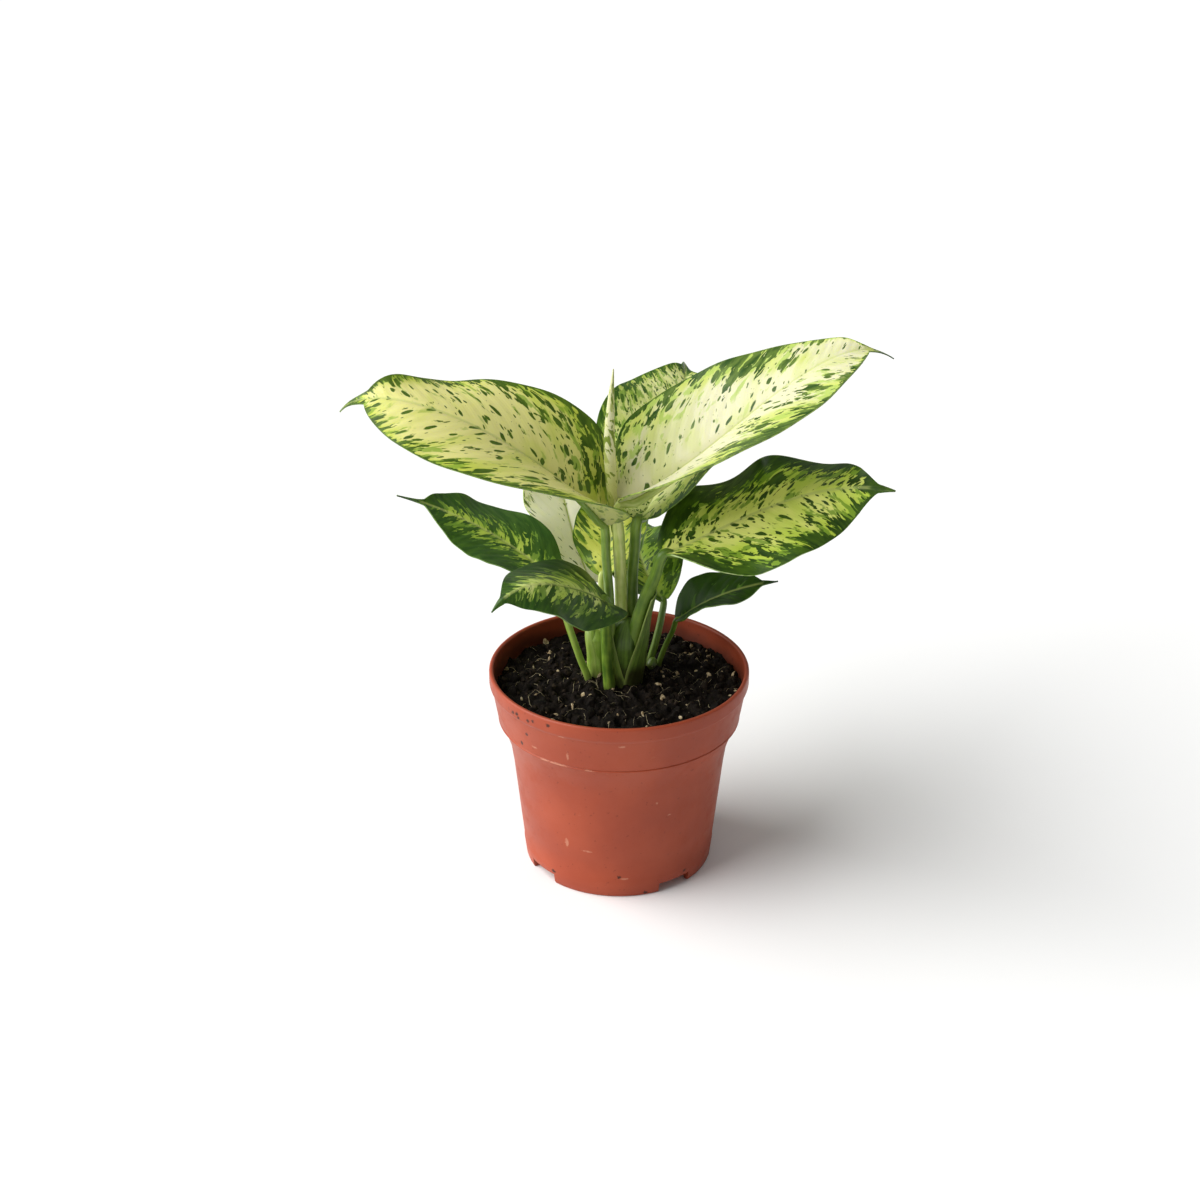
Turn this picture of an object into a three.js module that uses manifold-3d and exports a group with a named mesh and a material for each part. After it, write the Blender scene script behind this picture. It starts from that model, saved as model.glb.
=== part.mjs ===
// Potted dieffenbachia: a plastic nursery pot, its potting soil, three short stems
// and eleven leaves, one of them still rolled. Millimetres, +Z up, the origin on the
// ground at the middle of the pot's base. +X is to the right of the plant's front and
// +Y runs away behind it.

import * as THREE from 'three';
import { mergeVertices } from 'three/addons/utils/BufferGeometryUtils.js';
import Module from 'manifold-3d';

const wasm = await Module();
wasm.setup();

// ---- driving dimensions, in millimetres and degrees ----

const clearance = 0.35; // left round every stalk and stem that stands in a hole
const mergeDistance = 1e-4; // corners nearer than this are one corner

const pot = {
  height: 98,
  lipRadius: 60,
  lipDepth: 8,
  lipStep: 1.2, // the collar starts this much inside the lip
  lipUnder: 1.4, // height of the slope under the lip
  lipRound: 1, // how far the rolled edge of the lip rounds over
  lipThickness: 2.2,
  collarFoot: 72, // height where the collar starts to turn in
  collarRadius: 56,
  shoulderFoot: 58, // height where the turned-in shoulder meets the body
  shoulderSteps: 5,
  bodyRadius: 50.2,
  baseRadius: 44,
  baseCorner: 1.2,
  wall: 1.5,
  floorHeight: 5.5,
  floorThickness: 1.8,
  floorCorner: 2, // where the inside of the wall turns in to the floor
  padRadius: 9, // flat round pad under the floor, level with the foot ring
  segments: 44,
};
const notch = { count: 4, first: -54, width: 17, height: 5, depth: 14 };

const soil = {
  level: 88.5,
  edgeDrop: 1.2, // the soil falls this much towards the pot wall
  mound: 3, // and rises this much round the stems
  moundFall: 1.6, // how steeply the rise falls away from the middle
  lump: 0.55, // height of its lumps
  // Its lumps are waves, each [radians per mm along x, the same along y, start, share].
  waves: [[0.21, 0.26, 0.9, 0.5], [0.21, -0.26, 1.7, 0.5], [0.47, -0.39, 2.1, 0.6],
    [0.83, 0.71, 1.57, 0.4]],
  rings: 7,
  gap: 0.35, // to the pot wall
  crumbs: 26,
  crumbSize: [1.3, 2.4],
  crumbShape: [1, 0.8, 0.7],
  stemRoom: 14, // no crumb lies nearer the middle than this
  wallRoom: 5, // or nearer the pot's wall
  shoulder: 6, // depth below the surface where its side ends
  crumbSink: 0.15, // share of a crumb's size that it sinks
  seed: 41,
};

const blade = {
  thickness: 0.7,
  rows: 16,
  halfColumns: 3,
  firstRow: 0.014, // shares of the midrib's length
  lastRow: 0.99,
  leastHalfWidth: 0.5,
  blend: 2.5, // how softly the blade's outline runs into its tail
  foldFade: 2, // how soon the fold opens out from the base
  waveReach: 1.5, // how far in from the edge its waves, humps and base lobes reach
  waveCalm: 10, // half width below which the waves die away
  lobeFade: 8, // how soon the swept-back lobes at the base fade up the blade
};
const rib = { tipRadius: 0.45, taper: 0.6, sides: 6, step: 11, sink: 0.75 };

// Shares of the midrib's length where the rib's line is set.
const ribShares = [0.05, 0.12, 0.22, 0.34, 0.48, 0.62, 0.76, 0.88, 0.97];

// Each leaf runs from its base, on top of its stalk, to its tip. Its midrib leaves the
// base at the angle rise and comes to the tip at the angle fall, and bows sideways.
// Belly sets where the blade is widest, and fullness how round its outline is at the base
// and at the shoulder. Tail is the narrow tip: its share of the length and its half width
// where it starts. Lobe is how far the base sweeps back beside the stalk. Roll tips the
// blade about its midrib and fold lifts its two halves, each given at the base and at the
// tip. Each edge has waves [height, count, start] and may have humps [side, place, reach,
// height], where side is 1 on the right. Stalk lists points up its stalk, from the foot.
const leaves = {
  leaf_upper_left: {
    base: [-7, 4, 167], tip: [-124, 9, 219], rise: 70, fall: -56, bow: -18,
    width: 66, belly: 0.86, fullness: [0.6, 0.55], tail: [0.15, 2.4], lobe: 0.5,
    roll: [25, 21], fold: [45, -5], waveRight: [6, 1.2, 0.1], waveLeft: [3.3, 1.1, 0.4],
    humps: [[1, 0.79, 0.06, 4], [1, 0.62, 0.09, -3]],
    stalk: [[-3.5, 0.5, 103], [-4, 0.8, 118], [-4.6, 1.6, 134], [-6, 3, 151]],
    stalkRadius: [2.3, 2.0], colour: 0xc9cf8a,
  },
  leaf_upper_right: {
    base: [-0.5, 4, 178], tip: [124, 36, 234], rise: 20, fall: -40, bow: 5,
    width: 73, belly: 0.71, fullness: [0.62, 0.57], tail: [0.14, 2.4], lobe: 0.5,
    roll: [-18, 1], fold: [54, -4], waveRight: [1.5, 1.9, 4], waveLeft: [0.6, 3.2, 4.9],
    humps: [[-1, 0.83, 0.05, 2.5]],
    stalk: [[1, 6, 103], [1, 5.8, 118], [0.6, 5, 140], [-0.3, 4.3, 160]],
    stalkRadius: [2.9, 2.7], colour: 0xd8dcae,
  },
  leaf_back: {
    base: [8, 6, 169], tip: [32, 117, 204], rise: 10, fall: -10, bow: 8,
    width: 74, belly: 0.89, fullness: [0.65, 0.75], tail: [0.1, 2.6], lobe: 1,
    roll: [19, -30], fold: [22, 12], waveRight: [4.6, 2.1, 4.2], waveLeft: [4.6, 2.1, 1.3],
    humps: [],
    stalk: [[6.2, 9.4, 103], [6.2, 9.4, 118], [6, 8.6, 140], [7, 7.2, 156]],
    stalkRadius: [2.7, 2.4], colour: 0x86a06a,
  },
  leaf_right: {
    base: [20, -6, 158], tip: [123, -4, 187], rise: 16, fall: -8, bow: -9,
    width: 64, belly: 0.82, fullness: [0.51, 0.89], tail: [0.07, 2], lobe: 1.2,
    roll: [-8, -44], fold: [15, -20], waveRight: [3.5, 1.8, 1.9], waveLeft: [4.2, 3, 4.4],
    humps: [],
    stalk: [[5.6, 0.8, 103], [8.6, 0.4, 120], [11.8, -1.4, 133], [15.8, -3.6, 145]],
    stalkRadius: [4.1, 2.3], colour: 0x6f9a4a,
  },
  leaf_left: {
    base: [-30, 1, 143], tip: [-101, 11, 179], rise: 25, fall: 27, bow: 12,
    width: 43, belly: 0.84, fullness: [0.61, 0.69], tail: [0.16, 1.7], lobe: 1.5,
    roll: [5, 18], fold: [11, -5], waveRight: [2.1, 2.1, 4.5], waveLeft: [2.2, 1.3, 5.9],
    humps: [],
    stalk: [[-13.2, 1.2, 70], [-13.8, 1.8, 88], [-18, 1.8, 101], [-22.6, 1.4, 116],
      [-27, 1, 132]],
    stalkRadius: [1.8, 1.5], colour: 0x53803c,
  },
  leaf_front: {
    base: [-7, -12, 138], tip: [-55, -67, 158], rise: 36, fall: -57, bow: -4,
    width: 41, belly: 0.81, fullness: [0.5, 0.85], tail: [0.1, 1.8], lobe: 12,
    roll: [38, 14], fold: [11, -30], waveRight: [1.9, 1.7, 5.4], waveLeft: [2.7, 1.7, 1.3],
    humps: [],
    stalk: [[-4.6, -5.4, 70], [-4.4, -5.2, 88], [-5.2, -5, 101], [-6, -6.6, 118]],
    stalkRadius: [3, 2.4], colour: 0x467a38,
  },
  leaf_lower_right: {
    base: [27, 12, 116], tip: [73, 7, 138], rise: 44, fall: 10, bow: 0,
    width: 29, belly: 0.85, fullness: [0.6, 0.8], tail: [0.14, 1.4], lobe: 1,
    roll: [-7, -24], fold: [29, 12], waveRight: [2, 1.5, 4.2], waveLeft: [2, 1.5, 5.7],
    humps: [],
    stalk: [[17.9, 14.4, 82], [18.8, 15, 91], [22, 15.2, 101], [25, 14, 109]],
    stalkRadius: [1.4, 1.2], colour: 0x4c7d36,
  },
  leaf_rear_left: {
    base: [-12.5, 24.5, 129], tip: [-34, 90, 180], rise: 28, fall: 8, bow: -3,
    width: 48, belly: 0.85, fullness: [0.65, 0.75], tail: [0.1, 2], lobe: 1,
    roll: [-24, 4], fold: [22, 10], waveRight: [1.8, 3.2, 0], waveLeft: [1.8, 3.2, 1.7],
    humps: [],
    stalk: [[-12.2, 8.4, 98], [-12.4, 9.6, 108], [-12.6, 16.4, 119]],
    stalkRadius: [1.8, 1.6], colour: 0xb9c384,
  },
  leaf_rear_centre: {
    base: [-8, 14, 138], tip: [-10, 52, 173], rise: 46, fall: 34, bow: 5,
    width: 35, belly: 0.83, fullness: [0.65, 0.75], tail: [0.1, 1.6], lobe: 1,
    roll: [6, 10], fold: [8, 8], waveRight: [1.6, 3.2, 0.5], waveLeft: [1.6, 3.2, 1.9],
    humps: [],
    stalk: [[-8.6, 10.4, 98], [-8.4, 10.8, 108], [-8, 11.8, 122]],
    stalkRadius: [1.6, 1.5], colour: 0x9bb552,
  },
  leaf_rear_right: {
    base: [21, 28, 118], tip: [15, 84, 135], rise: 36, fall: -2, bow: -8,
    width: 40, belly: 0.85, fullness: [0.65, 0.75], tail: [0.1, 1.8], lobe: 1,
    roll: [4, 8], fold: [19, 10], waveRight: [2, 3, 0.8], waveLeft: [2, 3, 1.5],
    humps: [],
    stalk: [[14, 17.4, 82], [14.6, 18, 90], [17.6, 20.6, 101], [20, 24.4, 111]],
    stalkRadius: [1.9, 1.6], colour: 0x7c9c56,
  },
};

// The rolled leaf: points up its middle, its greatest radius and the share of its
// length where it is that wide.
const spear = {
  line: [[-2.2, 4.4, 164], [-3, 4, 178], [-4.6, 4, 208], [-4, 4, 228], [-3, 4, 242]],
  radius: 2.9, footRadius: 1.5, tipRadius: 0.35, widest: 0.5, lap: 0.22, turns: 0.8, taper: 1.4,
  steps: 18, sides: 12, colour: 0xb7c98c,
};

// The short stems, wrapped in the sheaths of their leaves: points up the middle and the
// radius at each.
const stems = {
  stem_main: {
    line: [[3, 3.4, 70], [3, 3.4, 88], [2.8, 3.8, 101], [3, 4, 112], [4, 3.4, 121]],
    radii: [5.4, 6.2, 8, 8.6, 6.6], colour: 0x7d9a45,
  },
  stem_left: {
    line: [[-9.8, 6.8, 70], [-9.8, 7, 88], [-10.4, 9.2, 104], [-10.6, 9.8, 112]],
    radii: [2.9, 3.2, 3.9, 4.2], colour: 0xa9bf6c,
  },
  stem_right: {
    line: [[15.8, 16, 70], [15.8, 16, 86], [16, 16.2, 94]],
    radii: [4, 4.2, 2.6], colour: 0x8fae5c,
  },
};

const stemSides = 16;

const finishes = {
  pot: { color: 0xc4633f, roughness: 0.5 },
  soil: { color: 0x1b1512, roughness: 0.95 },
  leafRoughness: 0.38,
  stemRoughness: 0.45,
};

// ---- solids ----

const up = new THREE.Vector3(0, 0, 1);
const radians = THREE.MathUtils.degToRad;
const lerp = THREE.MathUtils.lerp;

const toVectors = (points) => points.map((point) => new THREE.Vector3(...point));

function toSolid(geometry) {
  const bare = geometry.index ? geometry.clone() : mergeVertices(geometry);
  bare.deleteAttribute('normal');
  bare.deleteAttribute('uv');
  const merged = mergeVertices(bare, mergeDistance);
  return new wasm.Manifold(new wasm.Mesh({
    numProp: 3,
    vertProperties: new Float32Array(merged.attributes.position.array),
    triVerts: new Uint32Array(merged.index.array),
  }));
}

function toGeometry(solid) {
  const mesh = solid.getMesh();
  const geometry = new THREE.BufferGeometry();
  geometry.setAttribute('position', new THREE.BufferAttribute(mesh.vertProperties, 3));
  geometry.setIndex(new THREE.BufferAttribute(mesh.triVerts, 1));
  geometry.computeVertexNormals();
  return geometry;
}

function indexedGeometry(points, triangles) {
  const geometry = new THREE.BufferGeometry();
  geometry.setAttribute('position', new THREE.Float32BufferAttribute(points, 3));
  geometry.setIndex(triangles);
  return geometry;
}

// A closed tube through the points, its section given at each as radius(angle).
function sweep(points, sides, sectionRadius) {
  const positions = [];
  const triangles = [];
  let side = new THREE.Vector3(1, 0, 0);
  points.forEach((point, i) => {
    const before = points[Math.max(i - 1, 0)];
    const after = points[Math.min(i + 1, points.length - 1)];
    const along = after.clone().sub(before).normalize();
    side = side.clone().addScaledVector(along, -side.dot(along)).normalize();
    const across = along.clone().cross(side);
    for (let k = 0; k < sides; k += 1) {
      const angle = (2 * Math.PI * k) / sides;
      const radius = sectionRadius(i, angle);
      const corner = point.clone()
        .addScaledVector(side, radius * Math.cos(angle))
        .addScaledVector(across, radius * Math.sin(angle));
      positions.push(corner.x, corner.y, corner.z);
    }
  });
  const last = (points.length - 1) * sides;
  for (let i = 0; i < last; i += sides) {
    for (let k = 0; k < sides; k += 1) {
      const next = (k + 1) % sides;
      triangles.push(i + k, i + next, i + sides + next);
      triangles.push(i + k, i + sides + next, i + sides + k);
    }
  }
  for (const [ring, point, turned] of [[0, points[0], true], [last, points.at(-1), false]]) {
    const centre = positions.length / 3;
    positions.push(point.x, point.y, point.z);
    for (let k = 0; k < sides; k += 1) {
      const next = (k + 1) % sides;
      const pair = turned ? [ring + next, ring + k] : [ring + k, ring + next];
      triangles.push(centre, ...pair);
    }
  }
  return toSolid(indexedGeometry(positions, triangles));
}

// ---- leaves ----

// Half the blade's width at s.
function halfWidthAt(leaf, s) {
  const [tailLength, tailHalfWidth] = leaf.tail;
  const t = Math.min(s / (1 - tailLength), 1);
  const fullness = lerp(leaf.fullness[0], leaf.fullness[1], t * t);
  const body = leaf.width / 2 * Math.max(Math.sin(Math.PI * t ** leaf.belly), 0) ** fullness;
  const tail = tailHalfWidth * t ** 3 * Math.min((1 - s) / tailLength, 1);
  const both = (body ** blade.blend + tail ** blade.blend) ** (1 / blade.blend);
  return Math.max(both, blade.leastHalfWidth);
}

// How far one edge is lifted at s by its waves and humps.
function edgeLift(leaf, s, side) {
  const [height, count, start] = side < 0 ? leaf.waveLeft : leaf.waveRight;
  const calm = Math.min(halfWidthAt(leaf, s) / blade.waveCalm, 1);
  const wave = height * calm * Math.sin(2 * Math.PI * count * s + start);
  const humps = leaf.humps.filter(([humpSide]) => humpSide === side);
  return humps.reduce(
    (sum, [, place, reach, rise]) => sum + rise * Math.exp(-(((s - place) / reach) ** 2)), wave);
}

function midribPoint(leaf, s) {
  const base = new THREE.Vector3(...leaf.base);
  const tip = new THREE.Vector3(...leaf.tip);
  const chord = tip.clone().sub(base);
  const heading = new THREE.Vector3(chord.x, chord.y, 0).normalize();
  const reach = chord.length() / 3;
  const bend = (angle) => heading.clone().multiplyScalar(Math.cos(radians(angle)))
    .addScaledVector(up, Math.sin(radians(angle))).multiplyScalar(reach);
  const curve = new THREE.CubicBezierCurve3(
    base, base.clone().add(bend(leaf.rise)), tip.clone().sub(bend(leaf.fall)), tip);
  const right = heading.clone().cross(up);
  return curve.getPoint(s).addScaledVector(right, leaf.bow * 4 * s * (1 - s));
}

// A point of the blade's middle surface: s runs up the midrib and v from -1, the left
// edge, to 1, the right edge.
function bladePoint(leaf, s, v) {
  const step = 0.001;
  const centre = midribPoint(leaf, s);
  const along = midribPoint(leaf, s + step).sub(midribPoint(leaf, s - step)).normalize();
  const level = along.clone().cross(up).normalize();
  const above = level.clone().cross(along);
  const roll = radians(lerp(leaf.roll[0], leaf.roll[1], s));
  const right = level.clone().multiplyScalar(Math.cos(roll))
    .addScaledVector(above, Math.sin(roll));
  const lift = right.clone().cross(along);
  const fold = radians(lerp(leaf.fold[1], leaf.fold[0], (1 - s) ** blade.foldFade));
  const out = halfWidthAt(leaf, s) * Math.abs(v);
  const edgeShare = Math.abs(v) ** blade.waveReach;
  const wave = edgeShare * edgeLift(leaf, s, Math.sign(v));
  const sweptBack = edgeShare * leaf.lobe * (1 - s) ** blade.lobeFade;
  return centre
    .addScaledVector(right, Math.sign(v) * Math.cos(fold) * out)
    .addScaledVector(lift, Math.sin(fold) * out + wave)
    .addScaledVector(along, -sweptBack);
}

function bladeSolid(leaf) {
  const columns = 2 * blade.halfColumns + 1;
  const middle = [];
  for (let i = 0; i <= blade.rows; i += 1) {
    const s = lerp(blade.firstRow, blade.lastRow, i / blade.rows);
    for (let j = 0; j < columns; j += 1) {
      middle.push(...bladePoint(leaf, s, j / blade.halfColumns - 1).toArray());
    }
  }
  const upper = [];
  for (let i = 0; i < blade.rows; i += 1) {
    for (let j = 0; j < columns - 1; j += 1) {
      const a = i * columns + j;
      const b = a + columns;
      if (j < blade.halfColumns) {
        upper.push(a, a + 1, b + 1, a, b + 1, b);
      } else {
        upper.push(a, a + 1, b, a + 1, b + 1, b);
      }
    }
  }
  const sheet = indexedGeometry(middle, upper);
  sheet.computeVertexNormals();
  const normals = sheet.attributes.normal.array;
  const count = middle.length / 3;
  const half = blade.thickness / 2;
  const face = (side) => middle.map((value, i) => value + side * half * normals[i]);
  const triangles = [...upper];
  for (let i = 0; i < upper.length; i += 3) {
    triangles.push(upper[i] + count, upper[i + 2] + count, upper[i + 1] + count);
  }
  const rim = [];
  for (let j = 0; j < columns; j += 1) rim.push(j);
  for (let i = 1; i <= blade.rows; i += 1) rim.push(i * columns + columns - 1);
  for (let j = columns - 2; j >= 0; j -= 1) rim.push(blade.rows * columns + j);
  for (let i = blade.rows - 1; i > 0; i -= 1) rim.push(i * columns);
  rim.forEach((a, k) => {
    const b = rim[(k + 1) % rim.length];
    triangles.push(a, b + count, b, a, a + count, b + count);
  });
  return toSolid(indexedGeometry([...face(1), ...face(-1)], triangles));
}

function stalkLine(leaf) {
  return [...toVectors(leaf.stalk), new THREE.Vector3(...leaf.base)];
}

// The stalk and the rib under the blade are one tapered tube.
function stalkSolid(leaf) {
  const stalk = stalkLine(leaf);
  const radiusAt = (s) => lerp(leaf.stalkRadius[1], rib.tipRadius, s ** rib.taper);
  const ribLine = ribShares.map((s) => midribPoint(leaf, s)
    .addScaledVector(up, -rib.sink * radiusAt(s)));
  const curve = new THREE.CatmullRomCurve3([...stalk, ...ribLine], false, 'centripetal');
  const length = curve.getLength();
  const stalkLength = new THREE.CatmullRomCurve3(stalk, false, 'centripetal').getLength();
  const steps = Math.ceil(length / rib.step);
  const points = curve.getSpacedPoints(steps);
  return sweep(points, rib.sides, (i) => {
    const travelled = (length * i) / steps;
    if (travelled < stalkLength) {
      return lerp(leaf.stalkRadius[0], leaf.stalkRadius[1], travelled / stalkLength);
    }
    return radiusAt((travelled - stalkLength) / (length - stalkLength));
  });
}

// The hole that a stalk or stem stands in: its own line with room round it and below.
function holeSolid(line, radii, sides) {
  const points = toVectors(line);
  const down = points[0].clone().sub(points[1]).normalize();
  points[0].addScaledVector(down, clearance);
  const curve = new THREE.CatmullRomCurve3(points, false, 'centripetal');
  const steps = Math.ceil(curve.getLength() / rib.step) * 2;
  const last = radii.length - 1;
  return sweep(curve.getSpacedPoints(steps), sides, (i) => {
    const place = (i / steps) * last;
    const from = Math.min(Math.floor(place), last - 1);
    return lerp(radii[from], radii[from + 1], place - from) + 2 * clearance;
  });
}

function stalkHole(leaf) {
  return holeSolid([...leaf.stalk, leaf.base], leaf.stalkRadius, rib.sides);
}

// ---- rolled leaf and stems ----

function spearSolid(room) {
  const curve = new THREE.CatmullRomCurve3(toVectors(spear.line), false, 'centripetal');
  const points = curve.getSpacedPoints(spear.steps);
  return sweep(points, spear.sides, (i, angle) => {
    const s = i / spear.steps;
    const swell = s < spear.widest
      ? lerp(spear.footRadius, spear.radius, Math.sin(Math.PI / 2 * s / spear.widest))
      : lerp(spear.radius, spear.tipRadius, ((s - spear.widest) / (1 - spear.widest)) ** spear.taper);
    const turn = angle / (2 * Math.PI) + spear.turns * s;
    const lap = 1 + spear.lap * ((turn % 1) - 0.5);
    return swell * (room > 0 ? 1 + spear.lap / 2 : lap) + room;
  });
}

function stemSolid(stem) {
  const curve = new THREE.CatmullRomCurve3(toVectors(stem.line), false, 'centripetal');
  const steps = 2 * (stem.line.length - 1);
  const points = Array.from({ length: steps + 1 }, (_, i) => curve.getPoint(i / steps));
  return sweep(points, stemSides, (i) => {
    const from = Math.min(Math.floor(i / 2), stem.radii.length - 2);
    return lerp(stem.radii[from], stem.radii[from + 1], i / 2 - from);
  });
}

// ---- pot and soil ----

const bodyRadiusAt = (z) => lerp(pot.baseRadius, pot.bodyRadius, z / pot.shoulderFoot);

// The outside of the pot from the base up to the underside of the lip, as [radius, height].
function outerProfile() {
  const profile = [
    [pot.baseRadius - pot.baseCorner, 0],
    [pot.baseRadius, pot.baseCorner],
    [bodyRadiusAt(pot.shoulderFoot / 2), pot.shoulderFoot / 2],
  ];
  for (let i = 0; i <= pot.shoulderSteps; i += 1) {
    const share = i / pot.shoulderSteps;
    const eased = share * share * (3 - 2 * share);
    profile.push([
      lerp(pot.bodyRadius, pot.collarRadius, eased),
      lerp(pot.shoulderFoot, pot.collarFoot, share),
    ]);
  }
  profile.push([pot.lipRadius - pot.lipStep, pot.height - pot.lipDepth]);
  return profile;
}

function innerRadiusAt(z) {
  const profile = outerProfile();
  const top = profile.findIndex(([, height]) => height >= z);
  if (top < 0) return profile.at(-1)[0] - pot.wall;
  const [lowRadius, low] = profile[top - 1];
  const [highRadius, high] = profile[top];
  return lerp(lowRadius, highRadius, (z - low) / (high - low)) - pot.wall;
}

function revolve(profile) {
  const points = [...profile, profile[0]].map(([radius, z]) => new THREE.Vector2(radius, z));
  return new THREE.LatheGeometry(points, pot.segments).rotateX(Math.PI / 2);
}

function potSolid() {
  const outer = outerProfile();
  const under = pot.floorHeight - pot.floorThickness;
  const ringInner = pot.baseRadius - 2 * pot.wall;
  const heights = outer.slice(2).map(([, z]) => z).reverse();
  const mouth = pot.lipRadius - pot.lipThickness;
  const corner = pot.floorHeight + pot.floorCorner;
  const profile = [
    ...outer,
    [pot.lipRadius, pot.height - pot.lipDepth + pot.lipUnder],
    [pot.lipRadius, pot.height - pot.lipRound],
    [pot.lipRadius - pot.lipRound / 2, pot.height - pot.lipRound / 4],
    [pot.lipRadius - pot.lipThickness / 2, pot.height],
    [mouth + pot.lipRound / 2, pot.height - pot.lipRound / 4],
    [mouth, pot.height - pot.lipRound],
    ...heights.map((z) => [innerRadiusAt(z), z]),
    [innerRadiusAt(corner), corner],
    [innerRadiusAt(pot.floorHeight) - pot.floorCorner, pot.floorHeight],
    [0, pot.floorHeight],
    [0, 0],
    [pot.padRadius, 0],
    [pot.padRadius, under],
    [ringInner, under],
    [ringInner, 0],
  ];
  let solid = toSolid(revolve(profile));
  for (let i = 0; i < notch.count; i += 1) {
    const angle = radians(notch.first + (360 / notch.count) * i);
    const cutter = new THREE.BoxGeometry(notch.depth, notch.width, 2 * notch.height)
      .translate(pot.baseRadius, 0, 0).rotateZ(angle);
    solid = solid.subtract(toSolid(cutter));
  }
  return solid;
}

function randomFrom(seed) {
  let state = seed;
  return () => {
    state = (state * 1664525 + 1013904223) % 4294967296;
    return state / 4294967296;
  };
}

// Height of the soil's surface above the ground.
function soilHeight(x, y) {
  const radius = Math.hypot(x, y) / pot.lipRadius;
  const lumps = soil.waves.reduce(
    (sum, [alongX, alongY, start, share]) => sum + share * Math.sin(alongX * x + alongY * y + start), 0);
  return soil.level + soil.mound * Math.max(1 - soil.moundFall * radius, 0)
    - soil.edgeDrop * radius * radius + soil.lump * lumps;
}

function soilSolid() {
  const floor = pot.floorHeight + soil.gap;
  const wallHeights = outerProfile().map(([, z]) => z)
    .filter((z) => z > floor + 2 * pot.floorCorner && z < soil.level - soil.shoulder);
  const wall = [floor + pot.floorCorner, ...wallHeights];
  const positions = [0, 0, floor];
  const triangles = [];
  const addRing = (radius, height) => {
    for (let k = 0; k < pot.segments; k += 1) {
      const angle = (2 * Math.PI * k) / pot.segments;
      const x = radius * Math.cos(angle);
      const y = radius * Math.sin(angle);
      positions.push(x, y, height ?? soilHeight(x, y));
    }
  };
  addRing(innerRadiusAt(pot.floorHeight) - pot.floorCorner - 2 * soil.gap, floor);
  wall.forEach((z) => addRing(innerRadiusAt(z) - soil.gap, z));
  const edge = innerRadiusAt(soil.level - soil.shoulder) - soil.gap;
  for (let ring = soil.rings; ring > 0; ring -= 1) addRing((edge * ring) / soil.rings);
  positions.push(0, 0, soilHeight(0, 0));
  const rings = 1 + wall.length + soil.rings;
  for (let k = 0; k < pot.segments; k += 1) {
    const next = (k + 1) % pot.segments;
    triangles.push(0, 1 + next, 1 + k);
    for (let ring = 0; ring < rings - 1; ring += 1) {
      const low = 1 + ring * pot.segments;
      const high = low + pot.segments;
      triangles.push(low + k, low + next, high + next, low + k, high + next, high + k);
    }
    const last = 1 + (rings - 1) * pot.segments;
    triangles.push(last + k, last + next, 1 + rings * pot.segments);
  }
  let solid = toSolid(indexedGeometry(positions, triangles));
  const random = randomFrom(soil.seed);
  for (let i = 0; i < soil.crumbs; i += 1) {
    const angle = 2 * Math.PI * random();
    const radius = lerp(soil.stemRoom, edge - soil.wallRoom, Math.sqrt(random()));
    const size = lerp(soil.crumbSize[0], soil.crumbSize[1], random());
    const x = radius * Math.cos(angle);
    const y = radius * Math.sin(angle);
    const crumb = new THREE.OctahedronGeometry(size, 0).scale(...soil.crumbShape)
      .rotateZ(2 * Math.PI * random()).rotateX(random())
      .translate(x, y, soilHeight(x, y) - size * soil.crumbSink);
    solid = solid.add(toSolid(crumb));
  }
  return solid;
}

// ---- assembly ----

const plant = new THREE.Group();

function addPiece(name, solid, material) {
  const piece = new THREE.Mesh(toGeometry(solid), material);
  piece.name = name;
  plant.add(piece);
}

const stemHoles = Object.values(stems)
  .map((stem) => holeSolid(stem.line, stem.radii, stemSides));
const stalkHoles = Object.values(leaves).map(stalkHole);

addPiece('pot', potSolid(), new THREE.MeshStandardMaterial(finishes.pot));

let bed = soilSolid();
for (const hole of [...stemHoles, ...stalkHoles]) bed = bed.subtract(hole);
addPiece('soil', bed, new THREE.MeshStandardMaterial(finishes.soil));

for (const [name, stem] of Object.entries(stems)) {
  let solid = stemSolid(stem);
  for (const hole of stalkHoles) solid = solid.subtract(hole);
  addPiece(name, solid, new THREE.MeshStandardMaterial({
    color: stem.colour, roughness: finishes.stemRoughness,
  }));
}

const spearHole = spearSolid(clearance);
for (const [name, leaf] of Object.entries(leaves)) {
  const solid = bladeSolid(leaf).add(stalkSolid(leaf)).subtract(spearHole);
  addPiece(name, solid, new THREE.MeshStandardMaterial({
    color: leaf.colour, roughness: finishes.leafRoughness,
  }));
}

addPiece('leaf_rolled', spearSolid(0), new THREE.MeshStandardMaterial({
  color: spear.colour, roughness: finishes.leafRoughness,
}));

export default plant;
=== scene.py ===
import math
import random

import bpy
import numpy as np
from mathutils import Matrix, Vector, noise


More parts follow.
